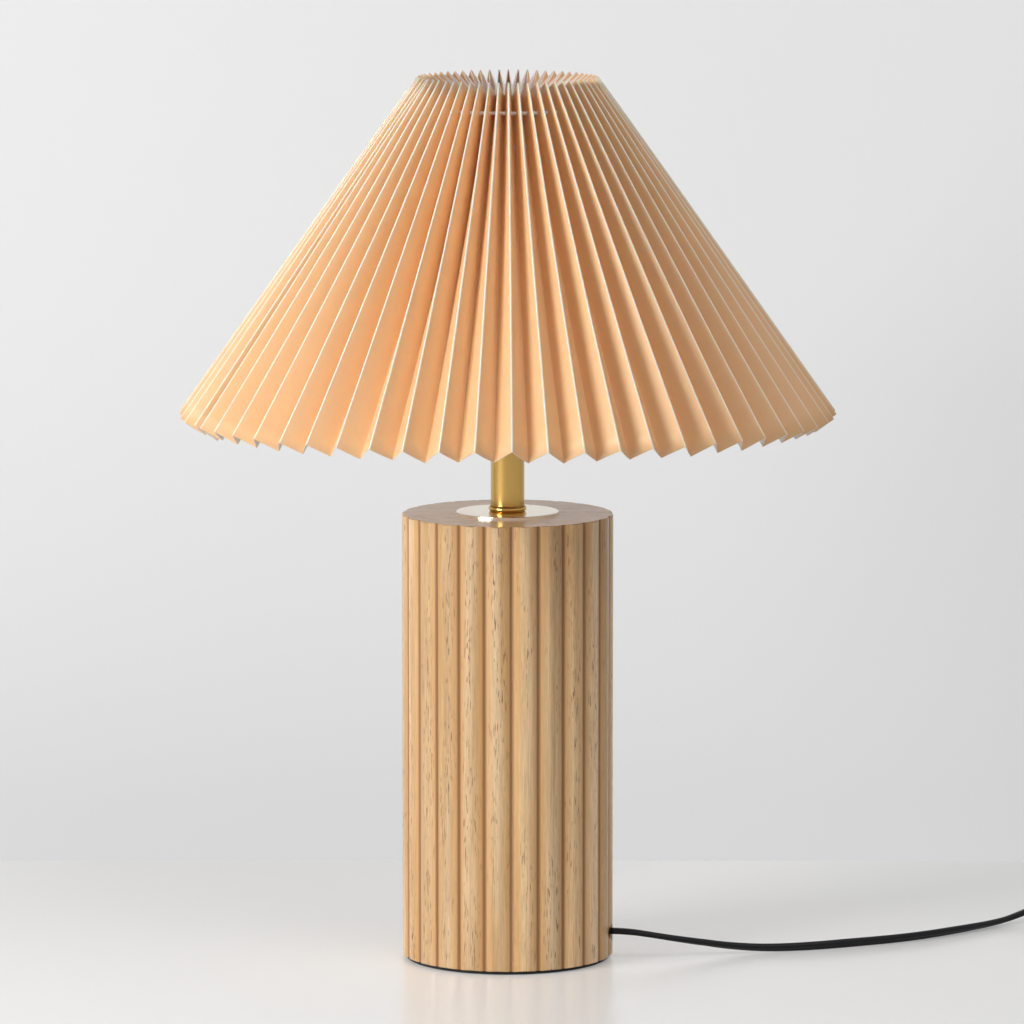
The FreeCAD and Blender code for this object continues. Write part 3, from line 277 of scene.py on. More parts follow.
def swept(name, line, twist_at, profile):
    """The profile along the line; twist_at lists (share of the length, degrees from lying flat)."""
    total = length_of(line)
    shares, angles = zip(*twist_at)
    points = []
    here = 0.0
    for i, place in enumerate(line):
        if i:
            here += (place - line[i - 1]).length
        ahead = line[min(i + 1, len(line) - 1)] - line[max(i - 1, 0)]
        along = ahead.normalized()
        across = along.cross(Vector((0, 0, 1))).normalized()
        upward = across.cross(along).normalized()
        twist = math.radians(float(np.interp(here / total, shares, angles)))
        wide = across * math.cos(twist) + upward * math.sin(twist)
        thick = upward * math.cos(twist) - across * math.sin(twist)
        points += [place + wide * u + thick * v for u, v in profile]
    count = len(profile)
    faces = grid_faces(len(line), count, close_columns=True)
    faces.append(tuple(range(count - 1, -1, -1)))
    faces.append(tuple(range((len(line) - 1) * count, len(line) * count)))
    return add_mesh(name, points, faces)


def settled(line, twist_at):
    """The line lowered where the cord lies on the table, so that its lower side touches the table."""
    total = length_of(line)
    shares, angles = zip(*twist_at)
    half = cord_width / 2
    lower = []
    here = 0.0
    for i, place in enumerate(line):
        if i:
            here += (place - line[i - 1]).length
        twist = math.radians(float(np.interp(here / total, shares, angles)))
        height = cord_thickness / 2 + (cord_width - cord_thickness) / 2 * abs(math.sin(twist))
        on_table = min(1.0, max(0.0, (7.0 * MM - place.z) / (4.0 * MM)))
        lower.append(place - Vector((0, 0, (half - height) * on_table)))
    return lower


twist_to_switch = [
    (0.0, 0.0), (0.12, 12.0), (0.45, 60.0), (0.7, 42.0), (0.85, 20.0), (0.95, 0.0), (1.0, 0.0)
]
twist_to_plug = [
    (0.0, 0.0), (0.03, 10.0), (0.10, 80.0), (0.13, 90.0), (0.955, 90.0), (0.985, 15.0), (1.0, 0.0)
]
to_switch = settled(to_switch, twist_to_switch)
cord_a = swept("cord_lamp_to_switch", to_switch, twist_to_switch, cord_profile())
cord_b = swept("cord_switch_to_plug", to_plug, twist_to_plug, cord_profile())
for piece in (cord_a, cord_b):
    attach(piece, "lamp")
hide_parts("cord_to_switch")
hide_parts("cord_to_coil", "cord_coil", "cord_to_plug")
print("cord vertices:", len(cord_a.data.vertices), len(cord_b.data.vertices))

switch_pieces = ["switch_lower_case", "switch_upper_case", "switch_rocker", "switch_pin"]
switch_pieces += ["switch_contacts", "switch_screws"]

# %% [markdown]
# ## Shader building blocks
#
# Every finish below is made of nodes. Three small functions place a node, do a sum and mix two
# colours, so that a material reads like a recipe. Effects that several finishes share are node
# groups with named inputs, built once: a fine breakup of tone, and worn edges.

# %% Node helpers


def place(tree, kind, inputs=None, **settings):
    made = tree.nodes.new(kind)
    for key, value in settings.items():
        setattr(made, key, value)
    for key, value in (inputs or {}).items():
        if isinstance(value, bpy.types.NodeSocket):
            tree.links.new(value, made.inputs[key])
        else:
            made.inputs[key].default_value = value
    return made


def calc(tree, operation, a, b=0.0, c=0.0, clamp=False):
    return place(
        tree, "ShaderNodeMath", {0: a, 1: b, 2: c}, operation=operation, use_clamp=clamp
    ).outputs[0]


def blend_colour(tree, factor, a, b):
    return place(tree, "ShaderNodeMix", {0: factor, 6: a, 7: b}, data_type="RGBA").outputs[2]


def remap(tree, value, low, high, to_low=0.0, to_high=1.0):
    made = place(tree, "ShaderNodeMapRange", {0: value, 1: low, 2: high, 3: to_low, 4: to_high})
    made.interpolation_type = "SMOOTHSTEP"
    return made.outputs[0]


def new_group(name, inputs, outputs):
    """A shader node group; inputs and outputs list (name, socket type, default)."""
    tree = bpy.data.node_groups.new(name, "ShaderNodeTree")
    for label, kind, default in inputs:
        socket = tree.interface.new_socket(label, in_out="INPUT", socket_type="NodeSocket" + kind)
        if default is not None:
            socket.default_value = default
    for label, kind in outputs:
        tree.interface.new_socket(label, in_out="OUTPUT", socket_type="NodeSocket" + kind)
    return tree, tree.nodes.new("NodeGroupInput").outputs, tree.nodes.new("NodeGroupOutput").inputs


def use(tree, made_group, inputs):
    return place(tree, "ShaderNodeGroup", inputs, node_tree=made_group).outputs


def new_material(name, colour, roughness, **shader_values):
    """A material with one Principled shader; returns it with its tree and shader."""
    material = bpy.data.materials.new(name)
    material.use_nodes = True
    tree = material.node_tree
    shader = tree.nodes["Principled BSDF"]
    shader.inputs["Base Color"].default_value = (*colour, 1.0)
    shader.inputs["Roughness"].default_value = roughness
    for key, value in shader_values.items():
        shader.inputs[key.replace("_", " ")].default_value = value
    material.diffuse_color = (*colour, 1.0)
    return material, tree, shader


def bump(tree, shader, height, strength, distance):
    made = place(tree, "ShaderNodeBump", {"Strength": strength, "Distance": distance, "Height": height})
    tree.links.new(made.outputs[0], shader.inputs["Normal"])


# %% Group: breakup
breakup, ins, outs = new_group(
    "breakup",
    [("Scale", "Float", 100.0), ("Stretch", "Vector", (1, 1, 1)), ("Colour", "Color", (1, 1, 1, 1))]
    + [("Tone", "Float", 0.1), ("Roughness", "Float", 0.5), ("Roughness Spread", "Float", 0.1)],
    [("Colour", "Color"), ("Roughness", "Float"), ("Height", "Float")],
)
coords = place(breakup, "ShaderNodeTexCoord").outputs["Object"]
stretched = place(
    breakup, "ShaderNodeVectorMath", {0: coords, 1: ins["Stretch"]}, operation="MULTIPLY"
)
fine = place(
    breakup,
    "ShaderNodeTexNoise",
    {"Vector": stretched.outputs[0], "Scale": ins["Scale"], "Detail": 5.0, "Roughness": 0.6},
).outputs[0]
coarse_scale = calc(breakup, "MULTIPLY", ins["Scale"], 0.11)
coarse = place(
    breakup,
    "ShaderNodeTexNoise",
    {"Vector": stretched.outputs[0], "Scale": coarse_scale, "Detail": 2.0},
).outputs[0]
half_fine = calc(breakup, "MULTIPLY", fine, 0.5)
both = calc(breakup, "ADD", half_fine, calc(breakup, "MULTIPLY", coarse, 0.5))
swing = calc(breakup, "MULTIPLY", calc(breakup, "SUBTRACT", both, 0.5), 2.0)
gain = calc(breakup, "ADD", 1.0, calc(breakup, "MULTIPLY", swing, ins["Tone"]))
toned = place(breakup, "ShaderNodeVectorMath", {0: ins["Colour"]}, operation="SCALE")
breakup.links.new(gain, toned.inputs["Scale"])
breakup.links.new(toned.outputs[0], outs["Colour"])
rough_swing = calc(breakup, "MULTIPLY", swing, ins["Roughness Spread"])
rough = calc(breakup, "ADD", ins["Roughness"], rough_swing)
breakup.links.new(rough, outs["Roughness"])
breakup.links.new(fine, outs["Height"])
print("group breakup:", len(breakup.nodes), "nodes")

# %% Group: worn edges
worn, ins, outs = new_group(
    "worn_edges", [("Radius", "Float", 0.0006), ("Amount", "Float", 1.0)], [("Mask", "Float")]
)
rounded = place(worn, "ShaderNodeBevel", {"Radius": ins["Radius"]}, samples=4).outputs[0]
straight = place(worn, "ShaderNodeNewGeometry").outputs["Normal"]
facing = place(worn, "ShaderNodeVectorMath", {0: rounded, 1: straight}, operation="DOT_PRODUCT")
away = calc(worn, "SUBTRACT", 1.0, facing.outputs["Value"])
mask = calc(worn, "MULTIPLY", calc(worn, "MULTIPLY", away, 6.0, clamp=True), ins["Amount"])
worn.links.new(mask, outs["Mask"])
print("group worn_edges:", len(worn.nodes), "nodes")

# %% [markdown]
# ## Plain finishes
#
# Moulded plastic, lacquered wire, plated steel and brass differ mostly in four numbers: colour,
# roughness, how much the tone wanders, and how deep the fine grain is. One function makes them all
# from the breakup group; edges catch a little more light where they are rubbed.

# %% Plain finishes


def plain_finish(name, colour, roughness, scale=600.0, tone=0.06, spread=0.05, depth=0.02, edge=0.0,
                 stretch=(1, 1, 1), **shader_values):
    material, tree, shader = new_material(name, colour, roughness, **shader_values)
    values = {"Scale": scale, "Stretch": stretch, "Colour": (*colour, 1.0), "Tone": tone}
    values.update({"Roughness": roughness, "Roughness Spread": spread})
    out = use(tree, breakup, values)
    surface = out["Colour"]
    if edge:
        mask = use(tree, worn, {"Radius": 0.0005, "Amount": edge})["Mask"]
        bright = [min(1.0, c * 1.6 + 0.04) for c in colour]
        surface = blend_colour(tree, mask, surface, (*bright, 1.0))
    tree.links.new(surface, shader.inputs["Base Color"])
    tree.links.new(out["Roughness"], shader.inputs["Roughness"])
    if depth:
        bump(tree, shader, out["Height"], depth, 0.0004)
    return material


black = (0.012, 0.012, 0.013)
finishes = {
    "foam": plain_finish("foam", (0.018, 0.018, 0.019), 0.92, scale=1500, tone=0.3, depth=0.5),
    "zinc": plain_finish("zinc", (0.60, 0.61, 0.63), 0.34, scale=400, Metallic=1.0, depth=0.05, edge=0.3),
    "polished_brass": plain_finish(
        "polished_brass", (0.93, 0.84, 0.69), 0.17, scale=300, tone=0.03, spread=0.03, Metallic=1.0,
        depth=0.01, edge=0.2,
    ),
    "satin_brass": plain_finish(
        "satin_brass", (0.60, 0.37, 0.11), 0.17, scale=500, tone=0.05, spread=0.06, Metallic=1.0,
        depth=0.03, edge=0.3, stretch=(1, 1, 0.05),
    ),
    "contact_brass": plain_finish("contact_brass", (0.80, 0.60, 0.28), 0.22, Metallic=1.0, tone=0.08),
    "holder_black": plain_finish("holder_black", black, 0.36, scale=900, depth=0.06, edge=0.25),
    "ceramic": plain_finish("ceramic", (0.80, 0.78, 0.73), 0.55, scale=700, tone=0.04, depth=0.05),
    "white_wire": plain_finish("white_wire", (0.80, 0.79, 0.76), 0.38, scale=900, tone=0.03, depth=0.05),
    "tip_metal": plain_finish("tip_metal", (0.62, 0.61, 0.58), 0.38, Metallic=1.0, tone=0.1, depth=0.06),
    "cap_insulator": plain_finish("cap_insulator", (0.02, 0.02, 0.03), 0.14, tone=0.1, depth=0.0),
    "cap_metal": plain_finish("cap_metal", (0.80, 0.80, 0.79), 0.24, Metallic=1.0, tone=0.05, edge=0.3),
    "bulb_plastic": plain_finish("bulb_plastic", (0.82, 0.82, 0.80), 0.30, tone=0.02, depth=0.01),
    "led": plain_finish("led", (0.80, 0.62, 0.12), 0.35, tone=0.05, depth=0.02),
    "diffuser": plain_finish(
        "diffuser", (0.86, 0.86, 0.84), 0.46, tone=0.015, depth=0.02, Subsurface_Weight=0.3,
        Subsurface_Scale=0.004,
    ),
    "cord_black": plain_finish(
        "cord_black", (0.005, 0.005, 0.006), 0.42, scale=700, tone=0.1, depth=0.04, Specular_IOR_Level=0.22
    ),
    "core_sleeve": plain_finish("core_sleeve", (0.03, 0.07, 0.25), 0.40, tone=0.05),
    "stop_plastic": plain_finish("stop_plastic", (0.70, 0.69, 0.66), 0.45, tone=0.03, depth=0.04),
    "tie_plastic": plain_finish("tie_plastic", (0.02, 0.02, 0.021), 0.5, tone=0.1, depth=0.1, edge=0.2),
    "switch_black": plain_finish("switch_black", black, 0.34, scale=1100, depth=0.10, edge=0.3),
    "plug_black": plain_finish("plug_black", black, 0.42, scale=1100, depth=0.12, edge=0.3),
    "nickel": plain_finish("nickel", (0.74, 0.72, 0.67), 0.16, Metallic=1.0, tone=0.04, edge=0.2),
    "thread": plain_finish("thread", (0.84, 0.80, 0.82), 0.85, scale=1800, tone=0.15, depth=0.6),
}
print("plain finishes:", len(finishes))

# %% [markdown]
# ## Wood
#
# The column is pale open-pored wood with a long, straight grain. Each reed is cut through slightly
# different figure, so neighbours differ in tone. The grain is noise that is stretched along the
# reeds; dark dashes are the pores. The same group serves the sides, where the grain runs up, and
# the top, where the cut shows it running across; the top gets paler colours, which are painted
# light on the top face. The wood is also painted darker towards each groove, on both sides alike:
# painted shade in the grooves, since light alone left the grooves too pale.

# %% Wood finish
reed_count = 24
groove_at = 2.3

figure, ins, outs = new_group(
    "wood_figure",
    [("Place", "Vector", None), ("Shift", "Float", 0.0), ("Light", "Color", (0.97, 0.68, 0.385, 1))]
    + [("Dark", "Color", (0.74, 0.43, 0.17, 1)), ("Pore", "Color", (0.22, 0.09, 0.025, 1))],
    [("Colour", "Color"), ("Roughness", "Float"), ("Height", "Float")],
)
shifted = place(figure, "ShaderNodeCombineXYZ", {0: ins["Shift"], 1: ins["Shift"], 2: ins["Shift"]})
moved = place(figure, "ShaderNodeVectorMath", {0: ins["Place"], 1: shifted.outputs[0]}, operation="ADD")
here = moved.outputs[0]


def grain_noise(stretch, scale, detail, roughness=0.55, distortion=0.0):
    long = place(figure, "ShaderNodeVectorMath", {0: here, 1: (1.0, 1.0, stretch)}, operation="MULTIPLY")
    values = {"Vector": long.outputs[0], "Scale": scale, "Detail": detail}
    values.update({"Roughness": roughness, "Distortion": distortion})
    return place(figure, "ShaderNodeTexNoise", values).outputs[0]


broad = grain_noise(0.05, 55.0, 2.0, distortion=0.6)
bands = grain_noise(0.03, 230.0, 3.0, distortion=0.3)
fibres = grain_noise(0.035, 1500.0, 3.0, roughness=0.7)
pores = grain_noise(0.09, 1500.0, 1.0)
pore_field = grain_noise(0.12, 110.0, 1.0)
tone = calc(figure, "ADD", calc(figure, "MULTIPLY", broad, 0.55), calc(figure, "MULTIPLY", bands, 0.45))
tone = remap(figure, tone, 0.36, 0.64)
base = blend_colour(figure, tone, ins["Light"], ins["Dark"])
fibre_dark = remap(figure, fibres, 0.32, 0.68, 1.07, 0.80)
fibred = place(figure, "ShaderNodeVectorMath", {0: base}, operation="SCALE")
figure.links.new(fibre_dark, fibred.inputs["Scale"])
dashes = remap(figure, pores, 0.60, 0.68)
patches = remap(figure, pore_field, 0.42, 0.60)
pore_mask = calc(figure, "MULTIPLY", dashes, patches)
pore_strength = calc(figure, "MULTIPLY", pore_mask, 0.9)
with_pores = blend_colour(figure, pore_strength, fibred.outputs[0], ins["Pore"])
figure.links.new(with_pores, outs["Colour"])
figure.links.new(remap(figure, fibres, 0.3, 0.7, 0.50, 0.64), outs["Roughness"])
depth = calc(figure, "SUBTRACT", calc(figure, "MULTIPLY", fibres, 0.35), pore_mask)
figure.links.new(depth, outs["Height"])


def wood_finish():
    material, tree, shader = new_material(
        "oak", (0.72, 0.50, 0.30), 0.55, Coat_Weight=0.75, Coat_Roughness=0.22
    )
    place_now = place(tree, "ShaderNodeTexCoord").outputs["Object"]
    parts = place(tree, "ShaderNodeSeparateXYZ", {0: place_now}).outputs
    angle = calc(tree, "ARCTAN2", parts[0], calc(tree, "MULTIPLY", parts[1], -1.0))
    turns = calc(tree, "MULTIPLY", angle, reed_count / (2 * math.pi))
    turns_from_groove = calc(tree, "SUBTRACT", turns, groove_at * reed_count / 360)
    reed = calc(tree, "FLOOR", turns_from_groove)
    random_tone = place(tree, "ShaderNodeTexWhiteNoise", {"W": reed}, noise_dimensions="1D").outputs[0]
    side = use(tree, figure, {"Place": place_now, "Shift": calc(tree, "MULTIPLY", random_tone, 3.0)})
    across = place(tree, "ShaderNodeCombineXYZ", {0: parts[2], 1: parts[1], 2: parts[0]}).outputs[0]
    # Painted light: the top face takes paler wood colours than the sides, standing in for light that
    # reaches it under the shade.
    top_painted_light_values = {"Place": across, "Light": (0.98, 0.68, 0.38, 1), "Dark": (0.94, 0.57, 0.28, 1)}
    top = use(tree, figure, top_painted_light_values)
    facing = place(tree, "ShaderNodeNewGeometry").outputs["Normal"]
    upward = place(tree, "ShaderNodeSeparateXYZ", {0: facing}).outputs[2]
    is_top = remap(tree, upward, 0.6, 0.9)
    gain = remap(tree, random_tone, 0.0, 1.0, 0.78, 1.06)
    toned = place(tree, "ShaderNodeVectorMath", {0: side["Colour"]}, operation="SCALE")
    tree.links.new(gain, toned.inputs["Scale"])
    across_reed = calc(tree, "FRACT", turns_from_groove)
    off_middle = calc(tree, "ABSOLUTE", calc(tree, "SUBTRACT", across_reed, 0.5))
    from_groove = calc(tree, "SUBTRACT", 0.5, off_middle)
    # Painted shade: a wide band darker and more orange towards each groove, and a narrow dark line at the
    # groove itself.
    groove_shade_band = remap(tree, from_groove, 0.05, 0.40, 0.75, 0.0)
    groove_shade_line = remap(tree, from_groove, 0.02, 0.12, 0.95, 0.0)
    band_shaded_colour = blend_colour(tree, groove_shade_band, toned.outputs[0], (0.64, 0.32, 0.085, 1.0))
    groove_shaded_colour = blend_colour(tree, groove_shade_line, band_shaded_colour, (0.25, 0.105, 0.022, 1.0))
    colour = blend_colour(tree, is_top, groove_shaded_colour, top["Colour"])
    tree.links.new(colour, shader.inputs["Base Color"])
    tree.links.new(side["Roughness"], shader.inputs["Roughness"])
    bump(tree, shader, side["Height"], 0.35, 0.0003)
    return material


finishes["oak"] = wood_finish()

# %% [markdown]
# ## Give every construction node its finish
#
# The record says which material slot each node has. A node keeps its shape and only gets its finish.

# %% Dress the nodes
slot_of = {row["node"]: row["material_slot"] for row in frame["record"]["subparts"]}
for node_name, node in frame["nodes"].items():
    chosen = finishes.get(slot_of[node_name])
    if chosen:
        node.data.materials.clear()
        node.data.materials.append(chosen)
for piece in (cord_a, cord_b):
    piece.data.materials.append(finishes["cord_black"])
print("slots in use:", len(set(slot_of.values())))

# %% [markdown]
# ## The folded shade
#
# The shade is one long strip of paper, folded to and fro and glued into a ring. Near the neck the
# folds crowd together, so they get deeper; each panel keeps its width of 14.2 mm. The mesh follows
# the paper: every fold is a small round of 0.35 mm radius, each panel bows by a few tenths of a
# millimetre, and hand folding leaves the ridges slightly uneven. Thickness is given by moving the
# same grid of points outwards and inwards by half the paper.

# %% Sizes of the shade
rim_radius = 175.0 * MM
neck_radius = 48.4 * MM
rim_height = 294.0 * MM
shade_top = 473.6 * MM
pleat_count = 59
panel_width = 14.2 * MM
paper_half = 0.15 * MM
fold_round = 0.35 * MM
seam_at = -67.0
seam_gap = 2.8
slope = math.atan2(rim_radius - neck_radius, shade_top - rim_height)
fold_step = (360 - seam_gap) / (pleat_count - 1)
shade_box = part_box("pleated_shade")
print("frame says the shade reaches", round(shade_box[1].z, 4), "and this pleat model", shade_top)


def fold_depth(radius, half_step):
    """Depth of a fold, square to the slope, that gives the panels their width."""
    low, high = 0.0, panel_width
    for _ in range(40):
        depth = (low + high) / 2
        inner = radius - depth * math.cos(slope)
        width = math.hypot(inner * math.cos(half_step) - radius, inner * math.sin(half_step))
        width = math.hypot(width, depth * math.sin(slope))
        low, high = (depth, high) if width < panel_width else (low, depth)
    return depth


def fold_lines(radius, z):
    """Corner points of the folds at one end of the shade, ridge and inner fold in turn."""
    corners = []
    for k in range(pleat_count):
        step = seam_gap if k == pleat_count - 1 else fold_step
        depth = fold_depth(radius, math.radians(step / 2))
        at = seam_at + k * fold_step
        corners.append(polar(at, radius, z))
        corners.append(polar(at + step / 2, radius - depth * math.cos(slope), z - depth * math.sin(slope)))
    return corners


# %% Fold the paper
shade_rng = random.Random(7)
arc_steps = 5
panel_steps = 4
bow = 0.35 * MM


def shade_columns(corners, bows, wobble):
    """Centre points and outward normals of the paper along one closed section of the shade."""
    count = len(corners)
    places, normals = [], []
    grown = []
    for i, corner in enumerate(corners):
        before = (corners[i - 1] - corner).normalized()
        after = (corners[(i + 1) % count] - corner).normalized()
        half = before.angle(after) / 2
        back_off = fold_round * (1 / math.sin(half) - 1)
        grown.append(corner - (before + after).normalized() * back_off + wobble[i])
    for i, corner in enumerate(grown):
        before = (grown[i - 1] - corner).normalized()
        after = (grown[(i + 1) % count] - corner).normalized()
        half = before.angle(after) / 2
        inward = (before + after).normalized()
        centre = corner + inward * (fold_round / math.sin(half))
        start = corner + before * (fold_round / math.tan(half)) - centre
        end = corner + after * (fold_round / math.tan(half)) - centre
        ridge = 1 if i % 2 == 0 else -1
        for k in range(arc_steps):
            spoke = start.slerp(end, k / (arc_steps - 1)).normalized()
            places.append(centre + spoke * fold_round)
            normals.append(spoke * ridge)
        nxt = grown[(i + 1) % count]
        back_dir = (corner - nxt).normalized()
        next_after = (grown[(i + 2) % count] - nxt).normalized()
        next_half = back_dir.angle(next_after) / 2
        leave = corner + after * (fold_round / math.tan(half))
        arrive = nxt + back_dir * (fold_round / math.tan(next_half))
        for k in range(1, panel_steps + 1):
            share = k / (panel_steps + 1)
            facing = end.normalized() * ridge
            bend = bows[i] * math.sin(math.pi * share)
            places.append(leave.lerp(arrive, share) + facing * bend)
            normals.append(facing)
    return places, normals


low_corners = fold_lines(rim_radius, rim_height)
high_corners = fold_lines(neck_radius, shade_top)
fold_count = len(low_corners)
panel_bows = [bow * shade_rng.uniform(0.3, 1.0) * (1 if i % 2 else -1) for i in range(fold_count)]
drift = [Vector([shade_rng.gauss(0, 0.22 * MM) for _ in range(3)]) for _ in range(fold_count)]
print("folds:", fold_count, "slope in degrees:", round(math.degrees(slope), 2))

# %% Build the paper mesh
carrier_wire = 3.0 * MM
ring_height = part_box("shade_carrier")[1].z - carrier_wire / 2
ring_share = (ring_height - rim_height) / (shade_top - rim_height)
notch_depth = 1.3 * MM
notch_reach = 2.8 * MM
even_levels = 24
close_to_ring = 0.022
steady = [k / (even_levels - 1) for k in range(even_levels)]
steady = [share for share in steady if abs(share - ring_share) > close_to_ring]
shares = sorted(steady + [ring_share + d for d in (-0.018, -0.009, 0.0, 0.009, 0.018)])
levels = len(shares)

outer, inner = [], []
for share in shares:
    corners = [a.lerp(b, share) for a, b in zip(low_corners, high_corners)]
    for corner in corners[1::2]:
        away = abs(corner.z - ring_height) / notch_reach
        outwards = Vector((corner.x, corner.y, 0)).normalized()
        corner += outwards * notch_depth * max(0.0, 1 - away * away)
    calm = 1.0 - 0.6 * share
    bows = [b * calm for b in panel_bows]
    places, normals = shade_columns(corners, bows, [d * calm for d in drift])
    outer += [p + n * paper_half for p, n in zip(places, normals)]
    inner += [p - n * paper_half for p, n in zip(places, normals)]
columns = len(places)
faces = grid_faces(levels, columns, close_columns=True)
outside_count = len(faces)
first_inner = len(outer)
inside_faces = grid_faces(levels, columns, close_columns=True, first=first_inner)
faces += [tuple(reversed(f)) for f in inside_faces]
for row in (0, levels - 1):
    for column in range(columns):
        a = row * columns + column
        b = row * columns + (column + 1) % columns
        rim = (b, a, a + first_inner, b + first_inner)
        faces.append(rim if row == 0 else tuple(reversed(rim)))
shade = add_mesh("paper_shade", outer + inner, faces)
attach(shade, "shade")
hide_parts("pleated_shade")
print("paper shade:", len(outer) + len(inner), "points,", len(faces), "faces")

# %% Fold coordinate on the paper
per_fold = arc_steps + panel_steps
fold_map = shade.data.uv_layers.new(name="fold_map")
column_u = []
for column in range(columns):
    fold, inside_fold = divmod(column, per_fold)
    if inside_fold < arc_steps:
        offset = (inside_fold / (arc_steps - 1) - 0.5) * 0.08
    else:
        offset = 0.04 + 0.92 * (inside_fold - arc_steps + 1) / (panel_steps + 1)
    column_u.append(fold + offset)
values = np.zeros(len(shade.data.loops) * 2, np.float32)
for face in shade.data.polygons:
    on_seam = [shade.data.loops[k].vertex_index % columns for k in face.loop_indices]
    wraps = max(on_seam) - min(on_seam) > columns // 2
    for k, column in zip(face.loop_indices, on_seam):
        extra = fold_count if wraps and column < columns // 2 else 0
        row = (shade.data.loops[k].vertex_index % first_inner) // columns
        values[2 * k] = column_u[column] + extra
        values[2 * k + 1] = shares[row]
fold_map.data.foreach_set("uv", values)

# %% [markdown]
# ## Paper finish
#
# The strip is peach coated card: dyed and faintly glossy outside, nearly white inside. Along each
# outer fold the coating is stretched, so the ridge shows as a pale line, which is also a painted
# highlight where the ridge catches the light. The fold coordinate that the mesh carries (whole even
# numbers on ridges, odd on inner folds) places that line exactly.

# %% Paper materials


def paper_finish(name, colour, ridge_crease_and_highlight_colour, ridge_width, roughness, **shader_values):
    material, tree, shader = new_material(name, colour, roughness, **shader_values)
    fold = place(tree, "ShaderNodeUVMap", uv_map="fold_map").outputs[0]
    u = place(tree, "ShaderNodeSeparateXYZ", {0: fold}).outputs[0]
    away = calc(tree, "PINGPONG", u, 1.0)
    # Pale line along each outer fold: partly the stretched coating, partly a painted highlight on the
    # ridge.
    line = remap(tree, away, 0.012, ridge_width, 1.0, 0.0)
    out = use(
        tree,
        breakup,
        {"Scale": 900.0, "Colour": (*colour, 1.0), "Tone": 0.05, "Roughness": roughness,
         "Roughness Spread": 0.06},
    )
    surface = blend_colour(tree, line, out["Colour"], (*ridge_crease_and_highlight_colour, 1.0))
    tree.links.new(surface, shader.inputs["Base Color"])
    tree.links.new(out["Roughness"], shader.inputs["Roughness"])
    bump(tree, shader, out["Height"], 0.06, 0.0002)
    return material


paper_outside = paper_finish(
    "paper_outside", (0.90, 0.57, 0.305), (0.97, 0.90, 0.80), 0.07, 0.46, Subsurface_Weight=0.45,
    Subsurface_Radius=(1.0, 0.42, 0.16), Subsurface_Scale=0.0006,
)
paper_inside = paper_finish(
    "paper_inside", (0.90, 0.78, 0.71), (0.90, 0.80, 0.74), 0.05, 0.62, Subsurface_Weight=0.5,
    Subsurface_Radius=(1.0, 0.42, 0.16), Subsurface_Scale=0.0006,
)
shade.data.materials.append(paper_outside)
shade.data.materials.append(paper_inside)
index = np.zeros(len(shade.data.polygons), np.int32)
index[outside_count:] = 1
shade.data.polygons.foreach_set("material_index", index)

# %% [markdown]
# ## Gathering thread
#
# A cotton thread runs through every fold a little under the neck and draws the shade into its cone.
# Between the folds it shows as short pale beads. Two plies twisted round one ring give the bead its
# uneven edge; a plain ring would look like wire.

# %% Twist two plies round the neck
thread_below_top = 15.0 * MM
thread_depth_share = 0.48
ply_radius = 0.7 * MM
ply_offset = 0.5 * MM
thread_steps = 944
thread_twists = 118
ply_sides = 6


def thread_ring():
    """Radius and height of the thread inside the folds."""
    radius = neck_radius + thread_below_top * math.sin(slope)
    height = shade_top - thread_below_top * math.cos(slope)
    depth = fold_depth(radius, math.radians(fold_step / 2)) * thread_depth_share
    return radius - depth * math.cos(slope), height - depth * math.sin(slope)


thread_r, thread_z = thread_ring()
points = []
for ply in range(2):
    for k in range(thread_steps):
        turn = 2 * math.pi * thread_twists * k / thread_steps + math.pi * ply
        r = thread_r + ply_offset * math.cos(turn)
        z = thread_z + ply_offset * math.sin(turn)
        for side in range(ply_sides):
            around = 2 * math.pi * side / ply_sides
            ply_r = r + ply_radius * math.cos(around)
            points.append(polar(360 * k / thread_steps, ply_r, z + ply_radius * math.sin(around)))
faces = []
for ply in range(2):
    first = ply * thread_steps * ply_sides
    for k in range(thread_steps):
        here_row = first + k * ply_sides
        next_row = first + ((k + 1) % thread_steps) * ply_sides
        for side in range(ply_sides):
            beside = (side + 1) % ply_sides
            faces.append((here_row + side, here_row + beside, next_row + beside, next_row + side))
thread = add_mesh("thread_plies", points, faces)
thread.data.materials.append(finishes["thread"])
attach(thread, "shade")
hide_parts("gathering_thread")
print("thread ring radius, height:", round(thread_r, 4), round(thread_z, 4))

# %% [markdown]
# ## Table, backdrop and light
#
# The lamp stands on a white lacquered table that ends a little behind it, in front of a pale wall.
# Both are lifted for the camera, for mirrors and for glass by a plain emission, so that they look
# pale without more light on the lamp; they still take its shadow. A soft key light stands to the
# left of the camera and a weaker one high on the right, and the surroundings fill the rest.

# %% Table and backdrop
table_back = 0.284
table_top = -0.0002
table_thickness = 0.03
table_lift = 0.19
wall_lift = 0.41


def slab(name, low, high):
    corners = [(x, y, z) for z in (low[2], high[2]) for y in (low[1], high[1]) for x in (low[0], high[0])]
    faces = [(0, 2, 3, 1), (4, 5, 7, 6), (0, 1, 5, 4), (1, 3, 7, 5), (3, 2, 6, 7), (2, 0, 4, 6)]
    made = add_mesh(name, corners, faces, smooth=False)
    soften = made.modifiers.new("soft_edge", "BEVEL")
    soften.width = 0.002
    soften.segments = 3
    return made


table = slab("table", (-3.0, -3.5, -table_thickness), (3.0, table_back, table_top))


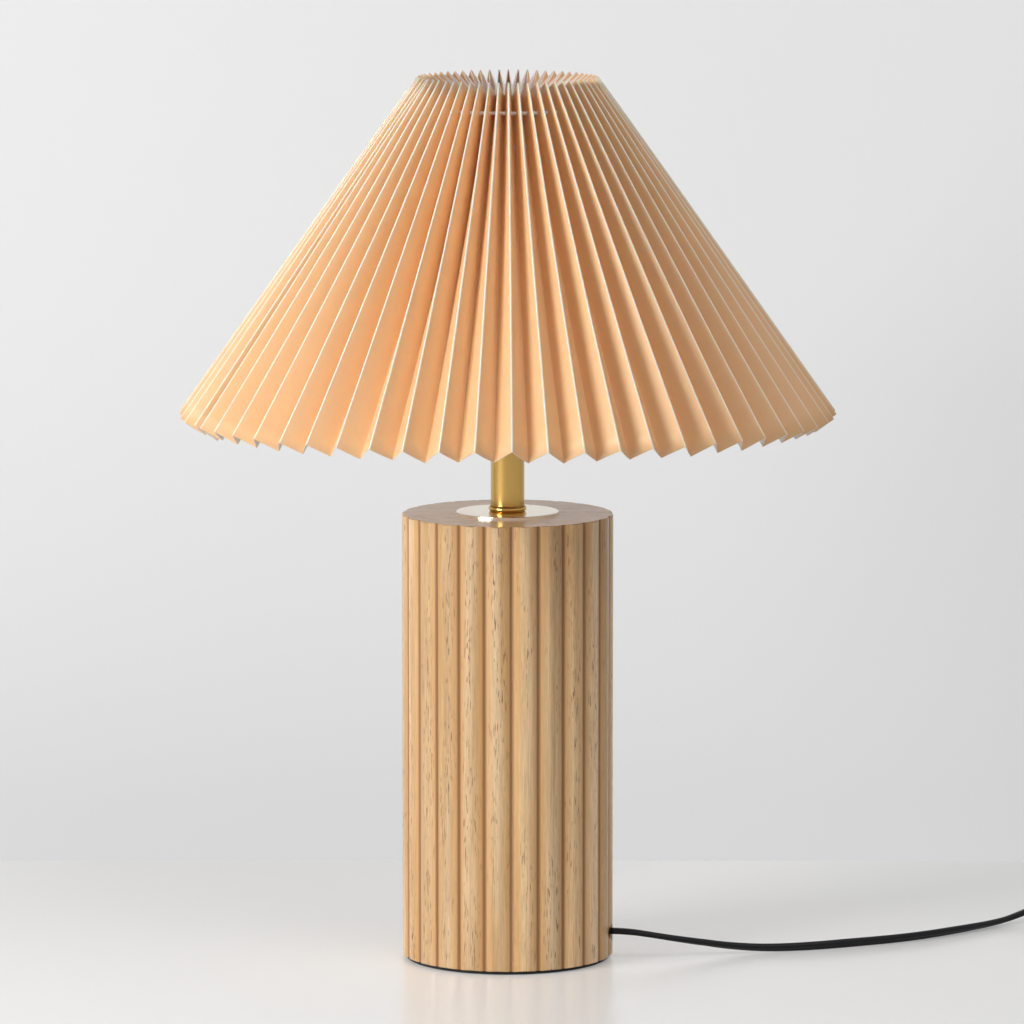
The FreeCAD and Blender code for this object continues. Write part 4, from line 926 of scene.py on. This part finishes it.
def lifted(tree, shader, lift):
    """The shader with a little plain white added where the camera, a mirror or glass looks at it."""
    seen_by = place(tree, "ShaderNodeLightPath").outputs
    seen_now = calc(tree, "MAXIMUM", seen_by["Is Camera Ray"], seen_by["Is Glossy Ray"])
    seen_now = calc(tree, "MAXIMUM", seen_now, seen_by["Is Transmission Ray"])
    glow = place(tree, "ShaderNodeEmission", {"Strength": calc(tree, "MULTIPLY", seen_now, lift)})
    return place(tree, "ShaderNodeAddShader", {0: shader.outputs[0], 1: glow.outputs[0]})


lacquer, tree, shader = new_material("table_lacquer", (0.80, 0.80, 0.79), 0.26)
bright = lifted(tree, shader, table_lift)
tree.links.new(bright.outputs[0], tree.nodes["Material Output"].inputs["Surface"])
table.data.materials.append(lacquer)

wall_at = 0.48
wall_half = 4.0
wall_low = -2.0
wall_high = 3.0
wall = add_mesh(
    "backdrop",
    [
        (-wall_half, wall_at, wall_low),
        (wall_half, wall_at, wall_low),
        (wall_half, wall_at, wall_high),
        (-wall_half, wall_at, wall_high),
    ],
    [(0, 1, 2, 3)],
    smooth=False,
)
wall_paint, tree, shader = new_material("wall_paint", (0.44, 0.444, 0.453), 0.9)
bright = lifted(tree, shader, wall_lift)
geometry = place(tree, "ShaderNodeNewGeometry")
clear = place(tree, "ShaderNodeBsdfTransparent")
mixed = place(tree, "ShaderNodeMixShader", {0: geometry.outputs["Backfacing"]})
tree.links.new(bright.outputs[0], mixed.inputs[1])
tree.links.new(clear.outputs[0], mixed.inputs[2])
tree.links.new(mixed.outputs[0], tree.nodes["Material Output"].inputs["Surface"])
wall.data.materials.append(wall_paint)
print("table ends at", table_back, "and the wall stands at", wall_at)

# %% [markdown]
# The width of the lit strips on the folds puts the key about 43 degrees round to the left and low.
# It was then turned on to 52 degrees, because the shaded panels on the left came out too bright.

# %% Lights and surroundings


def soft_light(name, place_at, aim, size, power, colour=(1.0, 1.0, 1.0)):
    data = bpy.data.lights.new(name, "AREA")
    data.shape = "RECTANGLE"
    data.size, data.size_y = size
    data.energy = power
    data.color = colour
    made = bpy.data.objects.new(name, data)
    bpy.context.scene.collection.objects.link(made)
    made.location = place_at
    made.rotation_euler = (Vector(aim) - Vector(place_at)).to_track_quat("-Z", "Y").to_euler()
    return made


key_turn = math.radians(-52.0)
key_rise = math.radians(16.0)
key_distance = 2.1
aim = Vector((0.0, 0.0, 0.22))
key_watts = 34.5
key_size = (0.95, 0.80)
key_colour = (1.0, 0.99, 0.975)
above_place = (0.9, -1.2, 1.7)
above_watts = 13.0
above_size = (1.5, 1.2)
towards_key = Vector(
    (
        math.sin(key_turn) * math.cos(key_rise),
        -math.cos(key_turn) * math.cos(key_rise),
        math.sin(key_rise),
    )
)
soft_light("key", aim + towards_key * key_distance, aim, key_size, key_watts, key_colour)
soft_light("above", above_place, aim, above_size, above_watts)
print("lights in watts: key", key_watts, "above", above_watts)
world = bpy.data.worlds.new("surroundings")
bpy.context.scene.world = world
world.use_nodes = True
tree = world.node_tree
lighting = tree.nodes["Background"]
lighting.inputs["Color"].default_value = (0.98, 0.99, 1.0, 1.0)
lighting.inputs["Strength"].default_value = 0.12
seen = place(tree, "ShaderNodeBackground", {"Color": (0.76, 0.765, 0.77, 1.0), "Strength": 1.0})
path = place(tree, "ShaderNodeLightPath").outputs
shown = calc(tree, "MAXIMUM", path["Is Camera Ray"], path["Is Transmission Ray"])
shown = calc(tree, "MAXIMUM", shown, path["Is Glossy Ray"])
both = place(tree, "ShaderNodeMixShader", {0: shown})
tree.links.new(lighting.outputs[0], both.inputs[1])
tree.links.new(seen.outputs[0], both.inputs[2])
tree.links.new(both.outputs[0], tree.nodes["World Output"].inputs["Surface"])
bpy.context.scene.view_settings.view_transform = "Standard"
